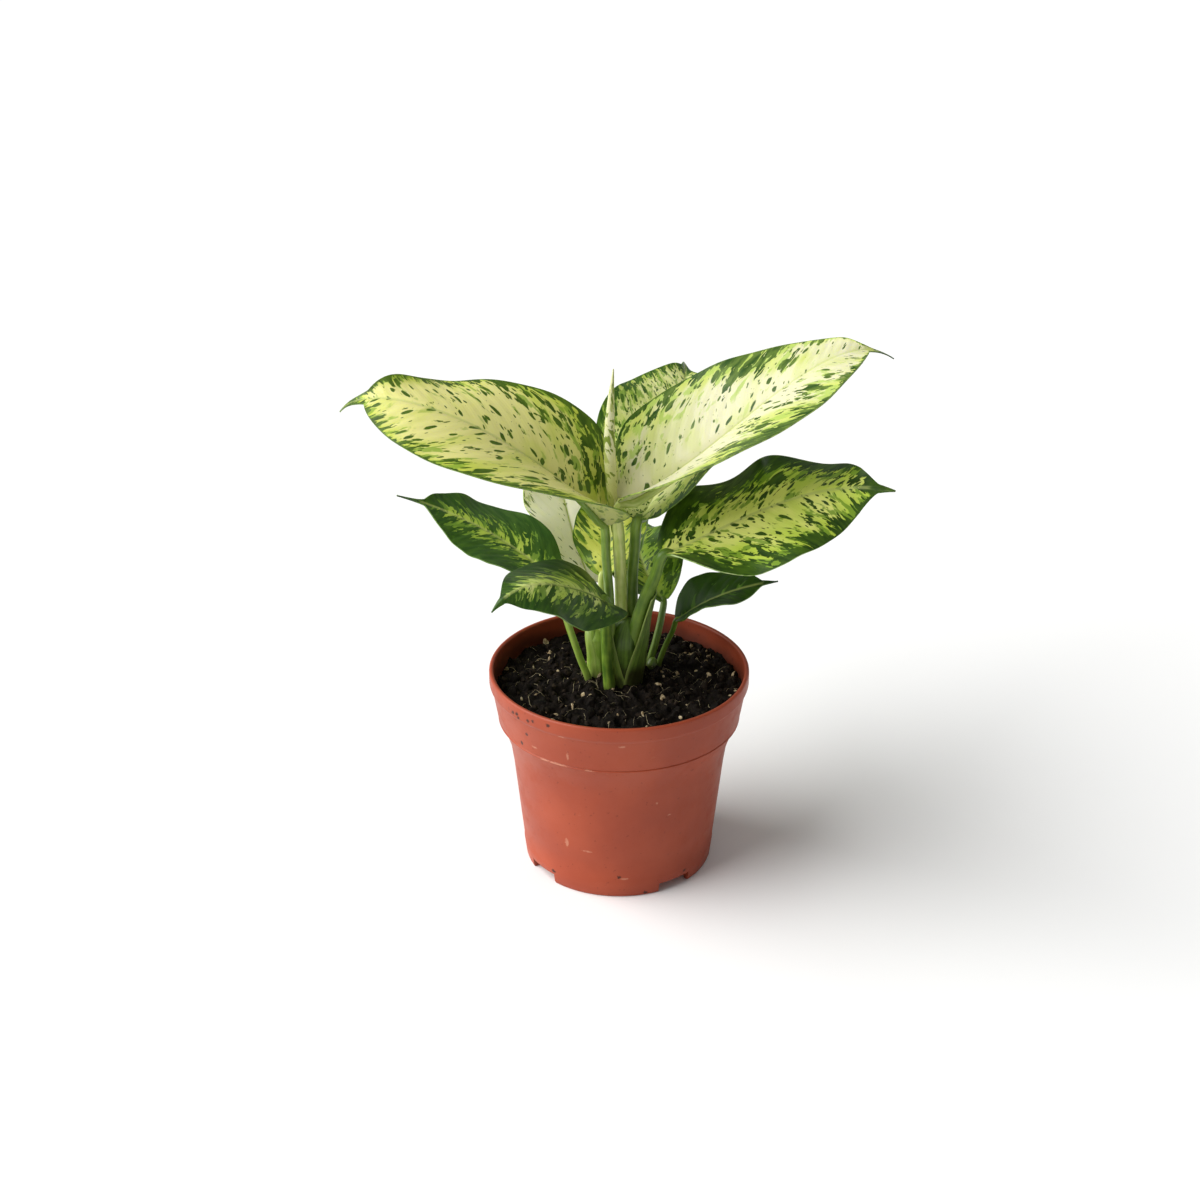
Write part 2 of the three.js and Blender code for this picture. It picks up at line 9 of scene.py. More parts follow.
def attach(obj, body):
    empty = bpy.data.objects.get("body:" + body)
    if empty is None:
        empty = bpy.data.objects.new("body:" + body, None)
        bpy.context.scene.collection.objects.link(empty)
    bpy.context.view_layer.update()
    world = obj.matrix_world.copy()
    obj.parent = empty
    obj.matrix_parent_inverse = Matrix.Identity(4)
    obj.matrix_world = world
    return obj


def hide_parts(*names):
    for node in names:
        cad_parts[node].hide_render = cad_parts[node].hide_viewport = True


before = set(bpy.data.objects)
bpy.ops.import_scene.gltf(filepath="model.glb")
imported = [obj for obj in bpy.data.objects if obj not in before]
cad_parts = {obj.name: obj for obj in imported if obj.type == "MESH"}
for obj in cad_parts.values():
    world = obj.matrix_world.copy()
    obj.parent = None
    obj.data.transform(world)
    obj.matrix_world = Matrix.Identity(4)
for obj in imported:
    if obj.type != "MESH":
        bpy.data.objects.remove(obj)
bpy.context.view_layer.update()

# A potted dieffenbachia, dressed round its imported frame. The dictionaries hold millimetres and
# degrees, +Z up, with the middle of the pot's foot at the origin. Meshes are made in metres.
millimetre = 0.001
upward = np.array([0.0, 0.0, 1.0])


# ---- camera, light and floor ----

camera = {"place": (-8.8, -883.9, 566.7), "pitch": 26.2, "focalLength": 65.0, "sensor": 36.0}
light = {"azimuth": -82, "elevation": 38, "strength": 4.76, "softness": 66, "sky": 0.3, "backdrop": 1.0}
floorSheet = {"size": 12000, "colour": "f3f3f2", "roughness": 0.6}


def paint(text):
    # a colour as it is written on a paint chart, as the linear one that a shader takes
    parts = [int(text[i:i + 2], 16) / 255 for i in (0, 2, 4)]
    return (*[p / 12.92 if p <= 0.04045 else ((p + 0.055) / 1.055) ** 2.4 for p in parts], 1)


def selectOnly(piece):
    bpy.ops.object.select_all(action="DESELECT")
    piece.select_set(True)
    bpy.context.view_layer.objects.active = piece


def modify(piece, kind, **settings):
    selectOnly(piece)
    modifier = piece.modifiers.new(kind.lower(), kind)
    for key, value in settings.items():
        setattr(modifier, key, value)
    bpy.ops.object.modifier_apply(modifier=modifier.name)


def addCamera():
    data = bpy.data.cameras.new("camera")
    data.sensor_width = camera["sensor"]
    data.lens = camera["focalLength"]
    eye = bpy.data.objects.new("camera", data)
    eye.location = Vector(camera["place"]) * millimetre
    eye.rotation_euler = (math.radians(90 - camera["pitch"]), 0, 0)
    bpy.context.scene.collection.objects.link(eye)
    bpy.context.scene.camera = eye


def addLight():
    data = bpy.data.lights.new("key", "SUN")
    data.energy = light["strength"]
    data.angle = math.radians(light["softness"])
    key = bpy.data.objects.new("key", data)
    azimuth = math.radians(light["azimuth"])
    elevation = math.radians(light["elevation"])
    towards = Vector((math.sin(azimuth) * math.cos(elevation), -math.cos(azimuth) * math.cos(elevation),
                      math.sin(elevation)))
    key.rotation_euler = towards.to_track_quat("Z", "Y").to_euler()
    bpy.context.scene.collection.objects.link(key)
    world = bpy.data.worlds.new("studio")
    world.use_nodes = True
    tree = world.node_tree
    tree.nodes.clear()
    sky = put(tree, "ShaderNodeBackground", {"Color": (1, 1, 1, 1), "Strength": light["sky"]})
    wall = put(tree, "ShaderNodeBackground", {"Color": (1, 1, 1, 1), "Strength": light["backdrop"]})
    seen = put(tree, "ShaderNodeLightPath").outputs["Is Camera Ray"]
    mixed = put(tree, "ShaderNodeMixShader", {0: seen, 1: sky.outputs[0], 2: wall.outputs[0]})
    put(tree, "ShaderNodeOutputWorld", {"Surface": mixed.outputs[0]})
    bpy.context.scene.world = world
    bpy.context.scene.view_settings.view_transform = "Standard"


def addFloor():
    bpy.ops.object.select_all(action="DESELECT")
    bpy.ops.mesh.primitive_plane_add(size=floorSheet["size"] * millimetre)
    sheet = bpy.context.object
    sheet.name = "floor"
    material, tree, surface = newMaterial("floor", roughness=floorSheet["roughness"])
    surface.inputs["Base Color"].default_value = paint(floorSheet["colour"])
    sheet.data.materials.append(material)


# ---- shader helpers ----

def put(tree, kind, values={}, **settings):
    made = tree.nodes.new(kind)
    for key, value in settings.items():
        setattr(made, key, value)
    for key, value in values.items():
        if isinstance(value, bpy.types.NodeSocket):
            tree.links.new(value, made.inputs[key])
        else:
            made.inputs[key].default_value = value
    return made


def calculate(tree, operation, first, second=0.0, third=0.0, clamp=False):
    values = {0: first, 1: second, 2: third}
    return put(tree, "ShaderNodeMath", values, operation=operation, use_clamp=clamp).outputs[0]


def mixColour(tree, share, first, second, way="MIX"):
    values = {0: share, 6: first, 7: second}
    return put(tree, "ShaderNodeMix", values, data_type="RGBA", blend_type=way).outputs[2]


def step(tree, value, low, high, fromValue=0.0, toValue=1.0):
    values = {0: value, 1: low, 2: high, 3: fromValue, 4: toValue}
    return put(tree, "ShaderNodeMapRange", values, interpolation_type="SMOOTHSTEP").outputs[0]


def stretch(tree, vector, scale):
    return put(tree, "ShaderNodeMapping", {"Vector": vector, "Scale": scale}).outputs[0]


def grain(tree, vector, seed, detail=2.0, roughness=0.5, scale=1.0, output=0):
    values = {"Vector": vector, "W": seed, "Scale": scale, "Detail": detail, "Roughness": roughness}
    return put(tree, "ShaderNodeTexNoise", values, noise_dimensions="4D").outputs[output]


def objectCoordinates(tree):
    # Object coordinates in millimetres
    return stretch(tree, put(tree, "ShaderNodeTexCoord").outputs["Object"], (1000, 1000, 1000))


def newGroup(name, inputs, outputs):
    group = bpy.data.node_groups.new(name, "ShaderNodeTree")
    for socketName, (kind, value) in inputs.items():
        socket = group.interface.new_socket(name=socketName, in_out="INPUT", socket_type="NodeSocket" + kind)
        if value is not None:
            socket.default_value = value
    for socketName, kind in outputs.items():
        group.interface.new_socket(name=socketName, in_out="OUTPUT", socket_type="NodeSocket" + kind)
    return group, group.nodes.new("NodeGroupInput"), group.nodes.new("NodeGroupOutput")


def useGroup(tree, group, values):
    made = tree.nodes.new("ShaderNodeGroup")
    made.node_tree = group
    for key, value in values.items():
        if isinstance(value, bpy.types.NodeSocket):
            tree.links.new(value, made.inputs[key])
        else:
            made.inputs[key].default_value = value
    return made


def newMaterial(name, roughness=0.5):
    material = bpy.data.materials.new(name)
    material.use_nodes = True
    tree = material.node_tree
    surface = tree.nodes["Principled BSDF"]
    surface.inputs["Roughness"].default_value = roughness
    return material, tree, surface


def addBump(tree, surface, height, distance, strength=1.0):
    values = {"Height": height, "Distance": distance * millimetre, "Strength": strength}
    bump = put(tree, "ShaderNodeBump", values)
    tree.links.new(bump.outputs[0], surface.inputs["Normal"])


# ---- bent sheets and lines ----

# A grid bent to shape. place(s, t) turns shares along and across the grid, 0 to 1, into points.
def bentSheet(name, rows, columns, place):
    bpy.ops.object.select_all(action="DESELECT")
    bpy.ops.mesh.primitive_grid_add(x_subdivisions=rows, y_subdivisions=columns, size=2)
    sheet = bpy.context.object
    sheet.name = name
    sheet.data.name = name
    corners = np.empty(len(sheet.data.vertices) * 3)
    sheet.data.vertices.foreach_get("co", corners)
    corners = corners.reshape(-1, 3)
    shares = np.round((corners[:, :2] + 1) / 2, 6)
    points = place(shares[:, 0], shares[:, 1])
    sheet.data.vertices.foreach_set("co", (points * millimetre).ravel())
    sheet.data.update()
    return sheet, shares


# A UV map whose values are given at the vertices.
def addMap(sheet, name, values):
    corner = np.empty(len(sheet.data.loops), dtype=np.int32)
    sheet.data.loops.foreach_get("vertex_index", corner)
    layer = sheet.data.uv_layers.new(name=name)
    layer.data.foreach_set("uv", values[corner].astype(np.float32).ravel())


def addAttribute(sheet, name, values):
    attribute = sheet.data.attributes.new(name, "FLOAT", "POINT")
    attribute.data.foreach_set("value", values.astype(np.float32))


# Closes seams and poles and turns every face outward.
def closeUp(piece):
    selectOnly(piece)
    bpy.ops.object.mode_set(mode="EDIT")
    bpy.ops.mesh.select_all(action="SELECT")
    bpy.ops.mesh.remove_doubles(threshold=0.01 * millimetre)
    bpy.ops.mesh.normals_make_consistent(inside=False)
    bpy.ops.object.mode_set(mode="OBJECT")


def unit(vectors):
    return vectors / np.linalg.norm(vectors, axis=-1, keepdims=True)


# An even line through the points.
def smoothLine(points, count):
    points = np.array(points, float)
    ends = np.vstack([2 * points[0] - points[1], points, 2 * points[-1] - points[-2]])
    fine = []
    for a, b, c, d in zip(ends[:-3], ends[1:-2], ends[2:-1], ends[3:]):
        before, here, after = (math.sqrt(np.linalg.norm(q - p)) for p, q in ((a, b), (b, c), (c, d)))
        slopeIn = ((b - a) / before - (c - a) / (before + here) + (c - b) / here) * here
        slopeOut = ((c - b) / here - (d - b) / (here + after) + (d - c) / after) * here
        t = np.linspace(0, 1, 24, endpoint=False)[:, None]
        fine.append((2 * t ** 3 - 3 * t ** 2 + 1) * b + (t ** 3 - 2 * t ** 2 + t) * slopeIn
                    + (3 * t ** 2 - 2 * t ** 3) * c + (t ** 3 - t ** 2) * slopeOut)
    fine = np.vstack([*fine, points[-1:]])
    travelled = np.concatenate([[0], np.cumsum(np.linalg.norm(np.diff(fine, axis=0), axis=1))])
    wanted = np.linspace(0, travelled[-1], count)
    return np.column_stack([np.interp(wanted, travelled, fine[:, k]) for k in range(3)]), travelled[-1]


# The two directions across a line at each of its points, turning no more than they must.
def crossFrame(line, start):
    along = unit(np.gradient(line, axis=0))
    side = np.array(start, float)
    sides = []
    for direction in along:
        side = unit(side - side.dot(direction) * direction)
        sides.append(side)
    sides = np.array(sides)
    return sides, np.cross(along, sides)


def finishPiece(piece, nodes=()):
    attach(piece, "root")
    if nodes:
        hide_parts(*nodes)
    return piece


# ---- leaves ----

# The midrib leaves the base at the angle rise and comes to the tip at the angle fall, and bows
# sideways. Tail is the narrow tip: its share of the length and its half width. Lobe is how far the
# base sweeps back. Roll tips the blade about its midrib and fold lifts its halves, at base and tip.
# Each edge has waves (height, count, start) and may have humps (side, place, reach, height).
# Cover is how much of the blade is green, from the midrib to the edge, and patches change it.
leaves = {
    "upper_left": {
        "base": (-7, 4, 167), "tip": (-124, 9, 219), "rise": 70, "fall": -56, "bow": -18,
        "width": 66, "belly": 0.86, "fullness": (0.6, 0.55), "tail": (0.15, 3.4), "lobe": 0.5,
        "roll": (25, 21), "fold": (45, -5), "waveRight": (6, 1.2, 0.1), "waveLeft": (3.3, 1.1, 0.4),
        "humps": [(1, 0.79, 0.06, 4), (1, 0.62, 0.09, -3)],
        "stalk": [(-3.5, 0.5, 103), (-4, 0.8, 118), (-4.6, 1.6, 134), (-6, 3, 151)],
        "stalkRadius": (2.3, 2.0), "stalkTone": "darkStalk", "slot": "leaf_cream",
        "middle": "d3cf86", "outer": "b9c34e", "halo": "7b9a2c", "dark": "35500c", "edge": "57702a",
        "cover": (0.04, 0.56), "coverPower": 3.6, "flecks": 0.62, "rim": 0.5, "grain": (0.86, 0.95), "seed": 3,
        "patches": [(0.2, 0.7, 0.1, 0.22), (0.14, 0.35, 0.07, 0.25), (0.84, 0.8, 0.07, 0.35),
                    (0.85, -0.8, 0.07, 0.25), (0.95, 0, 0.08, 0.8)],
    },
    "upper_right": {
        "base": (-0.5, 4, 178), "tip": (124, 36, 234), "rise": 20, "fall": -40, "bow": 5,
        "width": 73, "belly": 0.71, "fullness": (0.62, 0.57), "tail": (0.14, 3.6), "lobe": 0.5,
        "roll": (-18, 1), "fold": (54, -4), "waveRight": (1.5, 1.9, 4), "waveLeft": (0.6, 3.2, 4.9),
        "humps": [(-1, 0.83, 0.05, 2.5)],
        "stalk": [(1, 6, 103), (1, 5.8, 118), (0.6, 5, 140), (-0.3, 4.3, 160)],
        "stalkRadius": (2.9, 2.7), "stalkTone": "paleStalk", "slot": "leaf_cream",
        "middle": "cecca8", "outer": "bac464", "halo": "a0b854", "dark": "25470a", "edge": "57702a",
        "cover": (0.03, 0.72), "coverPower": 4.2, "flecks": 0.52, "rim": 0.5, "grain": (0.78, 0.9), "seed": 11,
        "patches": [(0.4, 0.85, 0.12, 0.45), (0.13, 0.9, 0.12, -0.5), (0.5, -0.7, 0.07, 0.5),
                    (0.63, -0.45, 0.05, 0.35), (0.62, 0.5, 0.07, 0.35), (0.8, -0.8, 0.12, -0.25),
                    (0.12, -0.75, 0.1, 0.15)],
    },
    "back": {
        "base": (8, 6, 169), "tip": (32, 117, 204), "rise": 10, "fall": -10, "bow": 8,
        "width": 74, "belly": 0.89, "fullness": (0.65, 0.75), "tail": (0.1, 2.6), "lobe": 1,
        "roll": (19, -30), "fold": (22, 12), "waveRight": (4.6, 2.1, 4.2), "waveLeft": (4.6, 2.1, 1.3),
        "humps": [],
        "stalk": [(6.2, 9.4, 103), (6.2, 9.4, 118), (6, 8.6, 140), (7, 7.2, 156)],
        "stalkRadius": (2.7, 2.4), "stalkTone": "greenStalk", "slot": "leaf_green",
        "middle": "d6da98", "outer": "b4c45a", "halo": "7c9e38", "dark": "2f5416", "edge": "57702a",
        "cover": (0.08, 0.66), "coverPower": 2.6, "flecks": 0.5, "rim": 0.3, "grain": (0.8, 1.6), "seed": 23,
        "patches": [(0.9, 0.0, 0.2, 0.25)],
    },
    "right": {
        "base": (20, -6, 158), "tip": (123, -4, 187), "rise": 16, "fall": -8, "bow": -9,
        "width": 64, "belly": 0.82, "fullness": (0.51, 0.89), "tail": (0.07, 2), "lobe": 1.2,
        "roll": (-8, -44), "fold": (15, -20), "waveRight": (3.5, 1.8, 1.9), "waveLeft": (4.2, 3, 4.4),
        "humps": [],
        "stalk": [(5.6, 0.8, 103), (8.6, 0.4, 120), (11.8, -1.4, 133), (15.8, -3.6, 145)],
        "stalkRadius": (4.1, 2.3), "stalkTone": "greenStalk", "slot": "leaf_green",
        "middle": "dbe080", "outer": "b8cc4c", "halo": "668c22", "dark": "223e08", "edge": "a9bb7c",
        "cover": (0.14, 0.98), "coverPower": 2.0, "flecks": 0.58, "rim": 0.3, "grain": (0.84, 0.95), "seed": 37,
        "patches": [(0.93, 0.0, 0.1, 0.8), (0.5, 0.6, 0.2, -0.12), (0.08, -0.8, 0.13, 0.5), (0.08, 0.8, 0.1, 0.4),
                    (0.42, -0.85, 0.12, 0.25)],
    },
    "left": {
        "base": (-30, 1, 143), "tip": (-101, 11, 179), "rise": 25, "fall": 27, "bow": 12,
        "width": 43, "belly": 0.84, "fullness": (0.61, 0.69), "tail": (0.16, 1.7), "lobe": 1.5,
        "roll": (5, 18), "fold": (11, -5), "waveRight": (2.1, 2.1, 4.5), "waveLeft": (2.2, 1.3, 5.9),
        "humps": [(1, 0.8, 0.045, 1.9), (1, 0.62, 0.06, 1.6)],
        "stalk": [(-13.2, 1.2, 70), (-13.8, 1.8, 88), (-18, 1.8, 101), (-22.6, 1.4, 116), (-27, 1, 132)],
        "stalkRadius": (1.8, 1.5), "stalkTone": "freshStalk", "slot": "leaf_green",
        "middle": "bccb5e", "outer": "94ad3c", "halo": "5c802c", "dark": "294b12", "edge": "5f7c2e",
        "cover": (0.3, 1.3), "coverPower": 1.15, "flecks": 0.25, "rim": 0.0, "grain": (1.1, 0.85), "seed": 41,
        "patches": [(0.9, 0.0, 0.12, 0.8)],
    },
    "front": {
        "base": (-7, -12, 138), "tip": (-55, -67, 158), "rise": 36, "fall": -57, "bow": -4,
        "width": 41, "belly": 0.81, "fullness": (0.5, 0.85), "tail": (0.1, 1.8), "lobe": 12,
        "roll": (38, 14), "fold": (11, -30), "waveRight": (1.9, 1.7, 5.4), "waveLeft": (2.7, 1.7, 1.3),
        "humps": [],
        "stalk": [(-4.6, -5.4, 70), (-4.4, -5.2, 88), (-5.2, -5, 101), (-6, -6.6, 118)],
        "stalkRadius": (3, 2.4), "stalkTone": "shadeStalk", "slot": "leaf_green",
        "middle": "d6dc94", "outer": "a8bc54", "halo": "587a2a", "dark": "1f3f0a", "edge": "6a8540",
        "cover": (0.2, 1.2), "coverPower": 1.25, "flecks": 0.4, "rim": 0.0, "grain": (1.1, 0.9), "seed": 53,
        "patches": [(0.9, 0.0, 0.12, 0.8)],
    },
    "lower_right": {
        "base": (27, 12, 116), "tip": (73, 7, 138), "rise": 44, "fall": 10, "bow": 0,
        "width": 29, "belly": 0.85, "fullness": (0.6, 0.8), "tail": (0.14, 1.4), "lobe": 1,
        "roll": (-7, -24), "fold": (29, 12), "waveRight": (2, 1.5, 4.2), "waveLeft": (2, 1.5, 5.7),
        "humps": [],
        "stalk": [(17.9, 14.4, 82), (18.8, 15, 91), (22, 15.2, 101), (25, 14, 109)],
        "stalkRadius": (1.4, 1.2), "stalkTone": "greenStalk", "slot": "leaf_green",
        "middle": "8ba04c", "outer": "5a7e2a", "halo": "3c5e12", "dark": "1c3a06", "edge": "5f7c2e",
        "cover": (0.64, 1.2), "coverPower": 0.9, "flecks": 0.0, "rim": 0.0, "grain": (1, 0.5), "seed": 61,
        "patches": [(0.9, 0.0, 0.12, 0.5)],
    },
    "rear_left": {
        "base": (-12.5, 24.5, 129), "tip": (-34, 90, 180), "rise": 28, "fall": 8, "bow": -3,
        "width": 48, "belly": 0.85, "fullness": (0.65, 0.75), "tail": (0.1, 2), "lobe": 1,
        "roll": (-24, 4), "fold": (22, 10), "waveRight": (1.8, 3.2, 0), "waveLeft": (1.8, 3.2, 1.7),
        "humps": [],
        "stalk": [(-12.2, 8.4, 98), (-12.4, 9.6, 108), (-12.6, 16.4, 119)],
        "stalkRadius": (1.8, 1.6), "stalkTone": "paleStalk", "slot": "leaf_cream",
        "middle": "f4f2da", "outer": "eceebc", "halo": "a6ba58", "dark": "4b6420", "edge": "7c8f48",
        "cover": (0.0, 0.14), "coverPower": 4.0, "flecks": 0.3, "rim": 0.15, "grain": (1, 1), "seed": 71,
        "patches": [],
    },
    "rear_centre": {
        "base": (-8, 14, 138), "tip": (-10, 52, 173), "rise": 46, "fall": 34, "bow": 5,
        "width": 35, "belly": 0.83, "fullness": (0.65, 0.75), "tail": (0.1, 1.6), "lobe": 1,
        "roll": (6, 10), "fold": (8, 8), "waveRight": (1.6, 3.2, 0.5), "waveLeft": (1.6, 3.2, 1.9),
        "humps": [],
        "stalk": [(-8.6, 10.4, 98), (-8.4, 10.8, 108), (-8, 11.8, 122)],
        "stalkRadius": (1.6, 1.5), "stalkTone": "paleStalk", "slot": "leaf_cream",
        "middle": "c5ca5c", "outer": "a8b840", "halo": "6f9028", "dark": "3a5a14", "edge": "8c9e4a",
        "cover": (0.12, 0.6), "coverPower": 2.0, "flecks": 0.5, "rim": 0.3, "grain": (1, 0.8), "seed": 83,
        "patches": [],
    },
    "rear_right": {
        "base": (21, 28, 118), "tip": (15, 84, 135), "rise": 36, "fall": -2, "bow": -8,
        "width": 40, "belly": 0.85, "fullness": (0.65, 0.75), "tail": (0.1, 1.8), "lobe": 1,
        "roll": (4, 8), "fold": (19, 10), "waveRight": (2, 3, 0.8), "waveLeft": (2, 3, 1.5),
        "humps": [],
        "stalk": [(14, 17.4, 82), (14.6, 18, 90), (17.6, 20.6, 101), (20, 24.4, 111)],
        "stalkRadius": (1.9, 1.6), "stalkTone": "greenStalk", "slot": "leaf_green",
        "middle": "a6b848", "outer": "7f9c30", "halo": "5a7c20", "dark": "2c4a0c", "edge": "6a8540",
        "cover": (0.3, 0.85), "coverPower": 1.4, "flecks": 0.4, "rim": 0.3, "grain": (1, 0.8), "seed": 97,
        "patches": [],
    },
}
blade = {
    "rows": 160, "columns": 56, "firstRow": 0.004, "lastRow": 0.989, "thickness": 0.55,
    "leastHalfWidth": 0.3, "blend": 2.5, "foldFade": 2, "waveReach": 1.5, "waveCalm": 10, "lobeFade": 8,
    "veinSpacing": 5.6, "veinDepth": 0.2, "veinLean": (0.42, 0.62), "veinCurl": 0.3,
    "channelDepth": 0.9, "channelWidth": 1.9, "ruffle": 0.2, "ruffleCount": 6.3,
    "greenTip": (0.84, 0.93, 0.7), "rimStart": 0.955,
}
rib = {"tipRadius": 0.25, "taper": 0.6, "sides": 16}


def halfWidthAt(leaf, s):
    tailLength, tailHalfWidth = leaf["tail"]
    t = np.clip(s / (1 - tailLength), 0, 1)
    fullness = leaf["fullness"][0] + (leaf["fullness"][1] - leaf["fullness"][0]) * t * t
    body = leaf["width"] / 2 * np.maximum(np.sin(np.pi * t ** leaf["belly"]), 0) ** fullness
    tail = tailHalfWidth * t ** 3 * np.clip((1 - s) / tailLength, 0, 1)
    both = (body ** blade["blend"] + tail ** blade["blend"]) ** (1 / blade["blend"])
    return np.maximum(both, blade["leastHalfWidth"])


def midribPoint(leaf, s):
    base, tip = (np.array(leaf[key], float) for key in ("base", "tip"))
    heading = unit((tip - base) * (1, 1, 0))
    reach = np.linalg.norm(tip - base) / 3
    lean = [math.radians(leaf[key]) for key in ("rise", "fall")]
    bends = [reach * (heading * math.cos(angle) + upward * math.sin(angle)) for angle in lean]
    s = np.asarray(s)[:, None]
    curve = ((1 - s) ** 3 * base + 3 * (1 - s) ** 2 * s * (base + bends[0])
             + 3 * (1 - s) * s ** 2 * (tip - bends[1]) + s ** 3 * tip)
    return curve + np.cross(heading, upward) * leaf["bow"] * 4 * s * (1 - s)


# How far one edge is lifted by its waves and humps, and by a finer ruffle.
def edgeLift(leaf, s, side):
    height, count, start = leaf["waveLeft"] if side < 0 else leaf["waveRight"]
    calm = np.minimum(halfWidthAt(leaf, s) / blade["waveCalm"], 1)
    lift = height * calm * np.sin(2 * np.pi * count * s + start)
    lift = lift - blade["ruffle"] * calm * (1 - np.sin(2 * np.pi * blade["ruffleCount"] * s + 3 * start))
    for humpSide, place, reach, rise in leaf["humps"]:
        if humpSide == side:
            lift = lift + rise * np.exp(-((s - place) / reach) ** 2)
    return lift


# Where the side vein through a point leaves the midrib, and how far out along it the point is.
def veinPlace(leaf, s, v):
    length = np.linalg.norm(np.subtract(leaf["tip"], leaf["base"])) * 1.06
    out = halfWidthAt(leaf, s) * np.abs(v)
    lean = blade["veinLean"][0] + blade["veinLean"][1] * s
    origin = s * length - out * lean - blade["veinCurl"] * out ** 2 / (leaf["width"] / 2)
    return origin, out * np.sign(v)


# A point of the blade: s runs up the midrib and v from -1, the left edge, to 1, the right edge.
def bladePoint(leaf, s, v):
    nudge = 0.001
    along = unit(midribPoint(leaf, s + nudge) - midribPoint(leaf, s - nudge))
    level = unit(np.cross(along, upward))
    above = np.cross(level, along)
    roll = np.radians(leaf["roll"][0] + (leaf["roll"][1] - leaf["roll"][0]) * s)[:, None]
    right = level * np.cos(roll) + above * np.sin(roll)
    lift = np.cross(right, along)
    fold = np.radians(leaf["fold"][1] + (leaf["fold"][0] - leaf["fold"][1]) * (1 - s) ** blade["foldFade"])
    half = halfWidthAt(leaf, s)
    calm = np.minimum(half / blade["waveCalm"], 1)
    out = np.abs(v)
    edgeShare = out ** blade["waveReach"]
    wave = edgeShare * np.where(v < 0, edgeLift(leaf, s, -1), edgeLift(leaf, s, 1))
    origin, across = veinPlace(leaf, s, v)
    vein = (0.5 + 0.5 * np.cos(2 * np.pi * origin / blade["veinSpacing"])) ** 2
    rise = -blade["veinDepth"] * vein * np.sin(np.pi * np.clip(out * 0.95 + 0.05, 0, 1)) * calm
    channel = np.exp(-(across / (blade["channelWidth"] * (1.1 - 0.7 * s))) ** 2)
    rise = rise - blade["channelDepth"] * channel * (1 - s) ** 0.5 * np.minimum(s / 0.06, 1)
    sideways = (np.sign(v) * np.cos(fold) * half * out)[:, None] * right
    sweptBack = (edgeShare * leaf["lobe"] * (1 - s) ** blade["lobeFade"])[:, None] * along
    upwards = (np.sin(fold) * half * out + wave + rise)[:, None] * lift
    return midribPoint(leaf, s) + sideways + upwards - sweptBack


def smooth(values, low, high):
    share = np.clip((values - low) / (high - low), 0, 1)
    return share * share * (3 - 2 * share)


# How much of the blade is green at each point, from 0 to 1.
def coverAt(leaf, s, v):
    middle, edge = leaf["cover"]
    cover = middle + (edge - middle) * np.abs(v) ** leaf["coverPower"]
    squat = leaf["width"] / 2 / np.linalg.norm(np.subtract(leaf["tip"], leaf["base"]))
    for placeS, placeV, reach, amount in leaf["patches"]:
        distance = np.hypot(s - placeS, (v - placeV) * squat) / reach
        cover = cover + amount * np.exp(-distance ** 2)
    cover = cover + leaf["rim"] * smooth(np.abs(v), blade["rimStart"], 1)
    low, high, amount = blade["greenTip"]
    return cover + amount * smooth(s, low, high)


